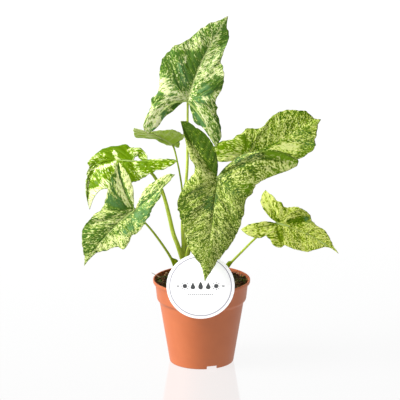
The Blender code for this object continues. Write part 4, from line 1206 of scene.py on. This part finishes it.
def roundPot(radius, angle, height=0.0):
    # a place round the pot's own axis
    return Vector((potX + radius * mm * math.cos(angle), potY + radius * mm * math.sin(angle), height * mm))


def notchCutter(k):
    # for a drainage notch through the foot ring
    form = potForm
    bm = bmesh.new()
    bmesh.ops.create_cube(bm, size=1)
    size = (form["notchDepth"] * mm, form["notchWidth"] * mm, form["notchHeight"] * 2 * mm)
    bmesh.ops.scale(bm, vec=size, verts=bm.verts)
    bmesh.ops.bevel(bm, geom=bm.edges, offset=form["notchRound"] * mm, offset_type="OFFSET", affect="EDGES",
                    segments=3, profile=0.5, material=-1)
    angle = math.radians(-90 + form["notchTurn"] + 360 / form["notches"] * k)
    turn = Matrix.Translation(roundPot(form["foot"], angle)) @ Matrix.Rotation(angle, 4, "Z")
    return cutterFrom(bm, "notch" + str(k), turn)


def holeCutter(k):
    # for a drain hole through the floor
    form = potForm
    bm = bmesh.new()
    bmesh.ops.create_cone(bm, cap_ends=True, segments=40, radius1=form["holeRadius"] * mm,
                          radius2=form["holeRadius"] * mm, depth=form["holeDepth"] * mm)
    angle = math.radians(360 / form["holes"] * k + 30)
    place = roundPot(form["holeRing"], angle, form["floor"])
    return cutterFrom(bm, "hole" + str(k), Matrix.Translation(place))


def makePot():
    bm = bmesh.new()
    turned(bm, potOutline(), potForm["sides"])
    pot = meshObject("nurseryPot", bm, [terracotta], "pot", "pot")
    cutters = [notchCutter(k) for k in range(potForm["notches"])]
    cutters += [holeCutter(k) for k in range(potForm["holes"])]
    cutAway(pot, cutters)
    pot.data.set_sharp_from_angle(angle=math.radians(potForm["sharpFrom"]))


def soilStainAndShade(tree, place):
    # where the inner wall is, and the darkening on it: partly splashed soil and partly painted shade, thicker
    # near the soil and broken up by specks
    across = addNode(tree, "VectorMath", {"operation": "SUBTRACT"}, {0: place, 1: (potX, potY, 0)}).outputs[0]
    level = stretchOf(tree, across, (1.0, 1.0, 0.0))
    radius = addNode(tree, "VectorMath", {"operation": "LENGTH"}, {0: level}).outputs["Value"]
    rim, top = potForm["rim"] * mm, potForm["height"] * mm
    inside = stepOf(tree, radius, rim - 1.3 * mm, rim - 1.9 * mm)
    height = splitOf(tree, place)["Z"]
    inside = mathOf(tree, "MULTIPLY", inside, stepOf(tree, height, top - 4.0 * mm, top - 3.5 * mm))
    low = stepOf(tree, height, top - 0.2 * mm, top - 3.0 * mm, 0.35, 0.95)
    specks = stepOf(tree, noiseOf(tree, place, 420, 4.0, 0.7), 0.44, 0.56, 0.12, 1.0)
    return inside, mathOf(tree, "MULTIPLY", inside, mathOf(tree, "MULTIPLY", low, specks))


def potMaterial():
    # moulded plastic: fine grain, faint rings from the mould, dull scuffs, a little dust, and soil specks
    # with painted shade on the inner wall
    material, tree, shader = newMaterial("terracotta")
    place = objectPlace(tree)
    grain = noiseOf(tree, place, 1400, 3.0, 0.7)
    clouds = noiseOf(tree, place, 22, 3.0, 0.55)
    rings = noiseOf(tree, stretchOf(tree, place, (2.0, 2.0, 260.0)), 1.0, 3.0, 0.6)
    scuffs = noiseOf(tree, stretchOf(tree, place, (260.0, 260.0, 40.0)), 1.0, 4.0, 0.75, 1.2)
    colour = tintOf(tree, stepOf(tree, clouds, 0.3, 0.7), paint(186, 92, 42), paint(194, 100, 49))
    rubbed = mathOf(tree, "MULTIPLY", stepOf(tree, scuffs, 0.62, 0.74), 0.16)
    colour = tintOf(tree, rubbed, colour, paint(218, 148, 108))
    banded = mathOf(tree, "MULTIPLY", stepOf(tree, rings, 0.5, 0.7), 0.12)
    colour = tintOf(tree, banded, colour, paint(170, 92, 62))
    colour = tintOf(tree, mathOf(tree, "MULTIPLY", grain, 0.10), colour, paint(160, 84, 56))
    inside, stainAndShade = soilStainAndShade(tree, place)
    # soil specks and painted shade on the inner wall, darker towards the soil
    colour = tintOf(tree, stainAndShade, colour, paint(62, 38, 24))
    plug(tree, shader["Base Color"], colour)
    rough = stepOf(tree, scuffs, 0.5, 0.75, 0.42, 0.52)
    rough = mathOf(tree, "ADD", rough, mathOf(tree, "MULTIPLY", grain, 0.06))
    # the inner wall has no sheen
    plug(tree, shader["Roughness"], blendOf(tree, inside, rough, 0.95))
    height = mathOf(tree, "ADD", mathOf(tree, "MULTIPLY", grain, 0.35), rings)
    plug(tree, shader["Normal"], bumpOf(tree, height, 0.18, 0.10 * mm))
    shader["Specular IOR Level"].default_value = 1.0
    shader["Specular Tint"].default_value = paint(255, 236, 214)
    return material


# Soil

soilForm = {"below": 4, "bottom": 12, "gap": 0.35, "rings": 54, "sides": 150, "crumbs": 1000, "lumps": 300,
            "crumbSize": (0.5, 1.4), "lumpSize": (1.5, 2.9), "grit": 1.1, "fibres": 70, "fibreReach": 52,
            "fibreLength": (5, 16), "fibreRadius": (0.12, 0.35), "tufts": 55, "tuftLeaves": (6, 14),
            "tuftLeaf": (1.6, 3.8), "tuftSpread": 1.6, "mound": 1.2, "uneven": 0.6, "seed": 11}

# A whole turn, near enough for a random heading
anyTurn = 6.28

# Where moss and pale grit show on the soil, as pixels of the front picture
mossSpots = [(243.5, 277.5), (241, 279.5), (244.5, 280), (238, 282.5), (235.5, 284), (157.5, 278.5),
             (156, 277), (160, 282)]
gritSpots = [(158.5, 275), (161.5, 274), (166.5, 273.3), (165, 276), (238.5, 273.5), (241, 276)]

# The straw, as pixels right and down and depth in millimetres
straw = [(160.5, 277.5, -8), (157, 275.6, -6), (154.4, 274.2, -6), (151.6, 272.9, -7)]
strawRadius = 0.6


def soilHeight(x, y):
    # the solid's own gently uneven top, in metres from the pot's axis
    base = (potForm["height"] - soilForm["below"]) * mm
    mound = soilForm["mound"] * mm * (1 - (x * x + y * y) / (potForm["rim"] * mm) ** 2)
    lumps = math.sin(x * 190) * math.cos(y * 160 + 0.6) + 0.6 * math.sin(x * 330 + y * 270)
    return base + mound + soilForm["uneven"] * mm * lumps


def soilSkin(x, y):
    rough = noise.fractal(Vector((x, y, 0)) * 260, 0.9, 2.2, 5)
    return soilHeight(x, y) + 0.9 * mm * rough


def makeSoil():
    top = potForm["height"] - soilForm["below"]
    stepBottom = potForm["collarBottom"] - potForm["step"]
    gap = potForm["wall"] + soilForm["gap"]
    edge = potOuter(top) - gap
    outline = [(edge * k / soilForm["rings"], top) for k in range(soilForm["rings"] + 1)]
    outline += [(potOuter(potForm["collarBottom"]) - gap, potForm["collarBottom"] + 1.5),
                (potOuter(stepBottom) - gap - 0.1, stepBottom),
                (potOuter(soilForm["bottom"]) - gap, soilForm["bottom"]), (0, soilForm["bottom"])]
    bm = bmesh.new()
    turned(bm, outline, soilForm["sides"], closed=False)
    for vert in bm.verts:
        if vert.co.z > (top - 0.1) * mm:
            vert.co.z = soilSkin(vert.co.x - potX, vert.co.y - potY)
    meshObject("pottingSoil", bm, [soilBrown], "soil", "soil")


def soilPlace(draw, limit=0.985):
    # an even draw over the soil's top
    reach = (potOuter(potForm["height"] - soilForm["below"]) - potForm["wall"] - 1.5) * mm
    distance, turn = reach * math.sqrt(draw.random()) * limit, draw.random() * 2 * math.pi
    x, y = distance * math.cos(turn), distance * math.sin(turn)
    return Vector((potX + x, potY + y, soilSkin(x, y)))


def soilUnder(right, down):
    # the soil seen at this pixel
    near, far = (Vector(seen(right, down, depth * mm)) for depth in (-60, 60))
    height = (potForm["height"] - soilForm["below"] + 0.6) * mm
    place = near.lerp(far, (height - near.z) / (far.z - near.z))
    return Vector((place.x, place.y, soilSkin(place.x - potX, place.y - potY)))


def addCrumb(bm, layer, place, turn, fineness, size, dents, shade):
    matrix = Matrix.Translation(place) @ turn
    made = bmesh.ops.create_icosphere(bm, subdivisions=fineness, radius=size * mm, matrix=matrix)
    depth, width = dents
    for vert in made["verts"]:
        vert.co += (vert.co - place) * depth * noise.noise(vert.co / (width * mm))
        vert[layer] = shade


def makeCrumbs():
    draw = random.Random(soilForm["seed"])
    bm = bmesh.new()
    tone = bm.verts.layers.float.new("tone")
    for k in range(soilForm["crumbs"] + soilForm["lumps"]):
        big = k >= soilForm["crumbs"]
        size = draw.uniform(*soilForm["lumpSize" if big else "crumbSize"])
        place = soilPlace(draw, 0.94 if big else 0.98)
        stretch = Matrix.Diagonal((draw.uniform(0.7, 1.5), draw.uniform(0.6, 1.2), draw.uniform(0.5, 0.9), 1))
        turn = Matrix.Rotation(draw.random() * anyTurn, 4, "Z")
        turn = turn @ Matrix.Rotation(draw.uniform(-0.5, 0.5), 4, "X")
        lift = Matrix.Translation((0, 0, size * 0.15 * mm))
        addCrumb(bm, tone, place, lift @ turn @ stretch, 2 if big else 1, size, (0.5, 1.1), draw.random())
    for right, down in gritSpots:
        lift = Matrix.Translation((0, 0, 0.7 * mm))
        turn = lift @ Matrix.Diagonal((1.3, 1, 0.8, 1))
        addCrumb(bm, tone, soilUnder(right, down), turn, 2, soilForm["grit"], (0.4, 0.9), 1.6)
    meshObject("soilCrumbs", bm, [soilBrown], "soil")


def makeFibres():
    # thin roots, bark slivers and one straw that leans out over the rim
    draw = random.Random(soilForm["seed"] + 1)
    bm = bmesh.new()
    layer = growthLayers(bm)
    for k in range(soilForm["fibres"]):
        start = soilPlace(draw, 0.9)
        heading = draw.random() * anyTurn
        length = draw.uniform(*soilForm["fibreLength"]) * mm
        bend = draw.uniform(-1.2, 1.2)
        points = []
        for step in range(5):
            along = step / 4
            turn = heading + bend * along
            x, y = start.x + length * along * math.cos(turn), start.y + length * along * math.sin(turn)
            reach = soilForm["fibreReach"] * mm
            inside = min(1.0, reach / max(1e-9, math.hypot(x - potX, y - potY)))
            x, y = potX + (x - potX) * inside, potY + (y - potY) * inside
            lift = math.sin(along * math.pi) * draw.uniform(0.3, 1.6) * mm
            points.append((x, y, soilSkin(x - potX, y - potY) + 0.3 * mm + lift))
        addFibre(bm, layer, points, draw.uniform(*soilForm["fibreRadius"]))
    addFibre(bm, layer, [seen(right, down, depth * mm) for right, down, depth in straw], strawRadius)
    bmesh.ops.recalc_face_normals(bm, faces=bm.faces)
    meshObject("soilFibres", bm, [fibreTan], "soil")


def addFibre(bm, layer, points, radius):
    path = smoothPath(points, 9)
    tube = sweepGrid(bm, layer, path, lambda turn, share: radius * (1 - 0.6 * share) * mm, 5)
    closeEnds(bm, tube)


def makeTufts():
    # moss in loose tufts of small pointed leaves, thicker in some places
    draw = random.Random(soilForm["seed"] + 2)
    bm = bmesh.new()
    places = [soilPlace(draw, 0.95) for k in range(soilForm["tufts"])]
    places = [place for place in places if noise.noise((place - Vector((potX, potY, 0))) * 45) > -0.12]
    places += [soilUnder(right, down) for right, down in mossSpots for k in range(2)]
    for place in places:
        for k in range(draw.randint(*soilForm["tuftLeaves"])):
            size = draw.uniform(*soilForm["tuftLeaf"]) * mm
            spread = Vector((draw.uniform(-1, 1), draw.uniform(-1, 1), 0.1)) * soilForm["tuftSpread"] * mm
            matrix = (Matrix.Translation(place + spread) @ Matrix.Rotation(draw.random() * anyTurn, 4, "Z")
                      @ Matrix.Rotation(draw.uniform(0.5, 1.35), 4, "Y") @ Matrix.Diagonal((0.35, 1, 1, 1))
                      @ Matrix.Translation((0, 0, size / 2)))
            bmesh.ops.create_cone(bm, cap_ends=True, segments=5, radius1=size * 0.24, radius2=0.05 * mm,
                                  depth=size, matrix=matrix)
    meshObject("soilMoss", bm, [mossGreen], "soil")


def soilMaterial():
    material, tree, shader = newMaterial("soilBrown")
    place = objectPlace(tree)
    tone = attributeOf(tree, "tone", "Fac")
    fine = noiseOf(tree, place, 900, 4.0, 0.7)
    clods = noiseOf(tree, place, 160, 3.0, 0.6)
    colour = tintOf(tree, stepOf(tree, fine, 0.35, 0.65), paint(18, 11, 5), paint(70, 46, 20))
    dry = mathOf(tree, "MULTIPLY", mathOf(tree, "POWER", tone, 3.0), 0.8)
    colour = tintOf(tree, dry, colour, paint(92, 62, 34))
    mossy = mathOf(tree, "MULTIPLY", stepOf(tree, clods, 0.54, 0.66), 0.8)
    colour = tintOf(tree, mossy, colour, paint(58, 68, 20))
    colour = tintOf(tree, stepOf(tree, clods, 0.42, 0.30), colour, paint(20, 14, 9))
    colour = tintOf(tree, stepOf(tree, tone, 1.2, 1.5), colour, paint(176, 150, 112))
    plug(tree, shader["Base Color"], colour)
    plug(tree, shader["Roughness"], stepOf(tree, fine, 0.3, 0.7, 0.82, 0.96))
    plug(tree, shader["Normal"], bumpOf(tree, fine, 0.8, 0.5 * mm))
    shader["Specular IOR Level"].default_value = 0.12
    return material


def grainyMaterial(name, grainForm, tones, dullness, contrast=None):
    # one grain drives both the colour and the dullness
    material, tree, shader = newMaterial(name)
    grain = noiseOf(tree, objectPlace(tree), *grainForm, 0.6)
    share = stepOf(tree, grain, *contrast) if contrast else grain
    plug(tree, shader["Base Color"], tintOf(tree, share, *tones))
    plug(tree, shader["Roughness"], stepOf(tree, grain, 0.3, 0.7, *dullness))
    return material


# Tag: a round card with a fine ring, a row of plain care signs and a stake behind it, in millimetres

tagForm = {
    "radius": 41.3, "thickness": 0.8, "height": 113.3, "across": -1.3, "lean": math.radians(1.1),
    "gap": 0.35, "ringRadius": 37.4, "ringWidth": 1.4, "printProud": 0.05, "cardPaintedGlow": 0.26,
    "stakeWidth": 10, "stakeThickness": 0.9, "stakeBottom": 66, "stakeY": -46, "stakeTop": 124,
    "stakeBend": 2.5,
}

# The signs: how far out each pair stands, how high their row is, and the dots under them
signForm = {"dashes": 27.5, "suns": 19, "drops": 9.3, "row": 0.4, "dots": 13, "dotGap": 2.4, "dotRow": -10.2,
            "dotRadius": 0.68, "dashLength": 3.4, "dashWidth": 1.3, "sunRadius": 2.7, "rayRing": 4.4,
            "rayLength": 1.6, "rayWidth": 0.8, "rays": 8, "dropRadius": 2.9, "leafRadius": 4.3}


def tagBack(height):
    # Y of the card's back face at this height: it leans outwards on the pot's lip
    lipSide = potForm["height"] - 1.4
    return -(potForm["rim"] + tagForm["gap"]) - (height - lipSide) * math.tan(tagForm["lean"])


def tagMatrix():
    out = tagForm["thickness"] / 2 / math.cos(tagForm["lean"])
    height = tagForm["height"]
    place = Vector((potX + tagForm["across"] * mm, potY + (tagBack(height) - out) * mm, height * mm))
    return Matrix.Translation(place) @ Matrix.Rotation(math.radians(90) + tagForm["lean"], 4, "X")


def makeTag():
    bm = bmesh.new()
    bmesh.ops.create_cone(bm, cap_ends=True, segments=180, radius1=tagForm["radius"] * mm,
                          radius2=tagForm["radius"] * mm, depth=tagForm["thickness"] * mm)
    sharp = [edge for edge in bm.edges if edge.calc_face_angle(0) > 1]
    bmesh.ops.bevel(bm, geom=sharp, offset=0.16 * mm, offset_type="OFFSET", affect="EDGES", segments=3,
                    profile=0.5, material=-1)
    bmesh.ops.transform(bm, matrix=tagMatrix(), verts=bm.verts)
    tag = meshObject("roundTag", bm, [cardWhite], "tag", "tag")
    tag.data.set_sharp_from_angle(angle=math.radians(35))


def printDisc(bm, x, y, radius, sides=28):
    flat = Matrix.Translation((x * mm, y * mm, 0))
    made = bmesh.ops.create_circle(bm, cap_ends=True, segments=sides, radius=radius * mm, matrix=flat)
    return made["verts"]


def printBar(bm, x, y, length, width, turn=0.0):
    flat = (Matrix.Translation((x * mm, y * mm, 0)) @ Matrix.Rotation(turn, 4, "Z")
            @ Matrix.Diagonal((length * mm, width * mm, 1, 1)))
    bmesh.ops.create_grid(bm, x_segments=1, y_segments=1, size=0.5, matrix=flat)


def printSun(bm, x, y):
    form = signForm
    printDisc(bm, x, y, form["sunRadius"])
    for k in range(form["rays"]):
        turn = k * 2 * math.pi / form["rays"]
        right, up = form["rayRing"] * math.cos(turn), form["rayRing"] * math.sin(turn)
        printBar(bm, x + right, y + up, form["rayLength"], form["rayWidth"], turn)


def printDrop(bm, x, y):
    radius = signForm["dropRadius"]
    for vert in printDisc(bm, x, y - 1.2, radius, 40):
        rise = vert.co.y / mm - (y - 1.2)
        if rise > 0:
            vert.co.x = x * mm + (vert.co.x - x * mm) * (1 - (rise / radius) ** 1.2 * 0.75)
            vert.co.y += rise * rise * 0.4 * mm


def printLeaf(bm, x, y):
    radius = signForm["leafRadius"]
    for vert in printDisc(bm, x, y, radius, 48):
        rise = (vert.co.y / mm - y) / radius
        vert.co.x = x * mm + (vert.co.x - x * mm) * 0.62 * (1 - 0.35 * rise)
        vert.co.y += 1.2 * max(0.0, rise) ** 4 * mm


def makePrint():
    # a leaf between two drops, two suns and two dashes, over a short row of dots
    form = signForm
    bm = bmesh.new()
    for side in (-1, 1):
        printBar(bm, side * form["dashes"], form["row"], form["dashLength"], form["dashWidth"])
        printSun(bm, side * form["suns"], form["row"])
        printDrop(bm, side * form["drops"], form["row"])
    printLeaf(bm, 0, form["row"])
    for k in range(form["dots"]):
        printDisc(bm, (k - form["dots"] // 2) * form["dotGap"], form["dotRow"], form["dotRadius"], 14)
    ink = bmesh.ops.extrude_face_region(bm, geom=bm.faces[:])["geom"]
    raised = [item for item in ink if isinstance(item, bmesh.types.BMVert)]
    proud = (tagForm["thickness"] / 2 + tagForm["printProud"]) * mm
    bmesh.ops.translate(bm, verts=raised, vec=(0, 0, proud))
    bmesh.ops.recalc_face_normals(bm, faces=bm.faces)
    bmesh.ops.transform(bm, matrix=tagMatrix(), verts=bm.verts)
    signs = meshObject("tagSigns", bm, [inkGrey], "tag")
    signs.data.set_sharp_from_angle(angle=math.radians(30))


def makeStake():
    # a bent strip: behind the card, over the lip and down into the soil
    form = tagForm
    half = form["stakeThickness"] / 2
    over = potForm["height"] + form["gap"] + half
    behind = (form["gap"] + half) / math.cos(form["lean"])
    inner, bend = form["stakeY"], form["stakeBend"]
    bends = [(tagBack(form["stakeTop"]) + behind, form["stakeTop"]), (tagBack(over) + behind, over),
             (inner - bend, over), (inner, over - bend), (inner, form["stakeBottom"] + half)]
    bm = bmesh.new()
    left = potX + (form["across"] - form["stakeWidth"] / 2) * mm
    verts = [bm.verts.new((left, potY + y * mm, z * mm)) for y, z in bends]
    edges = [bm.edges.new(pair) for pair in zip(verts, verts[1:])]
    swept = bmesh.ops.extrude_edge_only(bm, edges=edges)["geom"]
    moved = [item for item in swept if isinstance(item, bmesh.types.BMVert)]
    bmesh.ops.translate(bm, vec=(form["stakeWidth"] * mm, 0, 0), verts=moved)
    bmesh.ops.recalc_face_normals(bm, faces=bm.faces)
    stake = meshObject("tagStake", bm, [cardWhite], "tag", "tag_stake")
    wall = stake.modifiers.new("thickness", "SOLIDIFY")
    wall.thickness = form["stakeThickness"] * mm
    wall.offset = 0
    wall.use_even_offset = True
    edge = stake.modifiers.new("edge", "BEVEL")
    edge.width = 0.2 * mm
    edge.segments = 3
    edge.limit_method = "ANGLE"


def cardMaterial():
    # white card: faint fibre and sheen, with a thin grey ring printed near its edge
    material, tree, shader = newMaterial("cardWhite")
    place = objectPlace(tree)
    settings = {"vector_type": "TEXTURE"}
    sockets = {"Vector": place, "Location": tagMatrix().translation, "Rotation": tagMatrix().to_euler()}
    local = splitOf(tree, addNode(tree, "Mapping", settings, sockets).outputs["Vector"])
    across = mathOf(tree, "POWER", local["X"], 2.0)
    upward = mathOf(tree, "POWER", local["Y"], 2.0)
    radius = mathOf(tree, "SQRT", mathOf(tree, "ADD", across, upward))
    off = mathOf(tree, "ABSOLUTE", mathOf(tree, "SUBTRACT", radius, tagForm["ringRadius"] * mm))
    half = tagForm["ringWidth"] / 2 * mm
    ring = stepOf(tree, off, half * 1.3, half * 0.7)
    front = stepOf(tree, local["Z"], 0.0, 0.1 * mm)
    fibre = noiseOf(tree, place, 700, 3.0, 0.65)
    colour = tintOf(tree, fibre, paint(250, 250, 250), paint(253, 253, 253))
    printed = mathOf(tree, "MULTIPLY", mathOf(tree, "MULTIPLY", ring, front), 0.9)
    colour = tintOf(tree, printed, colour, paint(156, 154, 164))
    plug(tree, shader["Base Color"], colour)
    plug(tree, shader["Roughness"], stepOf(tree, fibre, 0.3, 0.7, 0.36, 0.48))
    plug(tree, shader["Normal"], bumpOf(tree, fibre, 0.08, 0.05 * mm))
    # painted light: the white card gives back a little light of its own, which evens out the shadows on it
    plug(tree, shader["Emission Color"], colour)
    shader["Emission Strength"].default_value = tagForm["cardPaintedGlow"]
    return material


# Floor, light and camera

# Each lamp is a wide soft sun: degrees to the right of the viewer, degrees up, its spread and its strength
studio = {
    "floorRadius": 7,
    "skyAround": 0.12,
    "skyBehind": 0.75,
    "skyTurn": (-0.75, 0.65, 0.0),
    "tableGlow": 0.79,
    "tableRoughness": 0.1,
    "tableColour": (0.04, 0.04, 0.04, 1),
    "key": {"right": -75, "up": 37, "spread": 36, "strength": 5.3},
    "top": {"right": -20, "up": 78, "spread": 70, "strength": 0.4},
    "fill": {"right": 4, "up": 10, "spread": 80, "strength": 0.55},
}


def makeFloor():
    bm = bmesh.new()
    bmesh.ops.create_circle(bm, cap_ends=True, segments=96, radius=studio["floorRadius"])
    mesh = bpy.data.meshes.new("floor")
    bm.to_mesh(mesh)
    bm.free()
    floor = bpy.data.objects.new("floor", mesh)
    bpy.context.scene.collection.objects.link(floor)
    # a table of white acrylic, softly lit from below
    material, _, shader = newMaterial("paleTable")
    shader["Roughness"].default_value = studio["tableRoughness"]
    shader["Base Color"].default_value = studio["tableColour"]
    shader["Emission Color"].default_value = (1, 1, 1, 1)
    shader["Emission Strength"].default_value = studio["tableGlow"]
    mesh.materials.append(material)


def makeLight(name, form):
    right, up = math.radians(form["right"]), math.radians(form["up"])
    lamp = bpy.data.lights.new(name, "SUN")
    lamp.angle = math.radians(form["spread"])
    lamp.energy = form["strength"]
    light = bpy.data.objects.new(name, lamp)
    light.location = (math.sin(right) * math.cos(up), -math.cos(right) * math.cos(up), math.sin(up))
    light.rotation_euler = light.location.to_track_quat("Z", "Y").to_euler()
    bpy.context.scene.collection.objects.link(light)


def makeSky():
    world = bpy.data.worlds.new("studioSky")
    world.use_nodes = True
    tree = world.node_tree
    background = tree.nodes["Background"].inputs
    direction = addNode(tree, "TexCoord", {}, {}).outputs["Generated"]
    behind = addNode(tree, "VectorMath", {"operation": "DOT_PRODUCT"}, {0: direction, 1: studio["skyTurn"]})
    background["Color"].default_value = (1, 1, 1, 1)
    glow = stepOf(tree, behind.outputs["Value"], 0.0, 0.7, studio["skyAround"], studio["skyBehind"])
    plug(tree, background["Strength"], glow)
    bpy.context.scene.world = world


def makeCamera():
    target = Vector(picture["target"])
    pitch = picture["pitch"]
    back = Vector((0, -math.cos(pitch), math.sin(pitch)))
    lens = bpy.data.cameras.new("camera")
    lens.sensor_width = picture["sensor"]
    lens.lens = picture["scale"] * picture["distance"] * picture["sensor"] / picture["size"]
    lens.clip_end = 100
    camera = bpy.data.objects.new("camera", lens)
    camera.location = target + back * picture["distance"]
    camera.rotation_euler = (math.radians(90) - pitch, 0, 0)
    bpy.context.scene.collection.objects.link(camera)
    bpy.context.scene.camera = camera


# Everything in its order

bpy.context.scene.view_settings.view_transform = "Standard"
makeCamera()
makeSky()
makeFloor()
for lightName in ("key", "top", "fill"):
    makeLight(lightName, studio[lightName])
print("studio ready")

terracotta, soilBrown, cardWhite, stalkGreen = potMaterial(), soilMaterial(), cardMaterial(), stalkMaterial()
fibreTan = grainyMaterial("fibreTan", (500, 3.0), (paint(96, 74, 50), paint(168, 146, 112)), (0.7, 0.85))
mossGreen = grainyMaterial("mossGreen", (240, 2.0), (paint(52, 72, 10), paint(104, 126, 34)), (0.5, 0.7),
                           (0.35, 0.65))
inkGrey = grainyMaterial("inkGrey", (1500, 2.0), (paint(60, 62, 64), paint(84, 86, 88)), (0.45, 0.6))
marbling = makeMarbling()
makePot()
print("pot ready")
makeSoil()
makeCrumbs()
makeFibres()
makeTufts()
print("soil ready")
makeTag()
makePrint()
makeStake()
print("tag ready")
for nodeName, crown in crowns.items():
    makeStalks(nodeName, crown)
print("stalks ready")
for seed, nodeName in enumerate(leaves):
    leaf = {**leaves[nodeName], **leafLooks[nodeName]}
    leaf["tones"] = {**plainTones, **leaf["tones"]}
    makeBlade(nodeName, leaf, seed)
    print(nodeName, "ready")
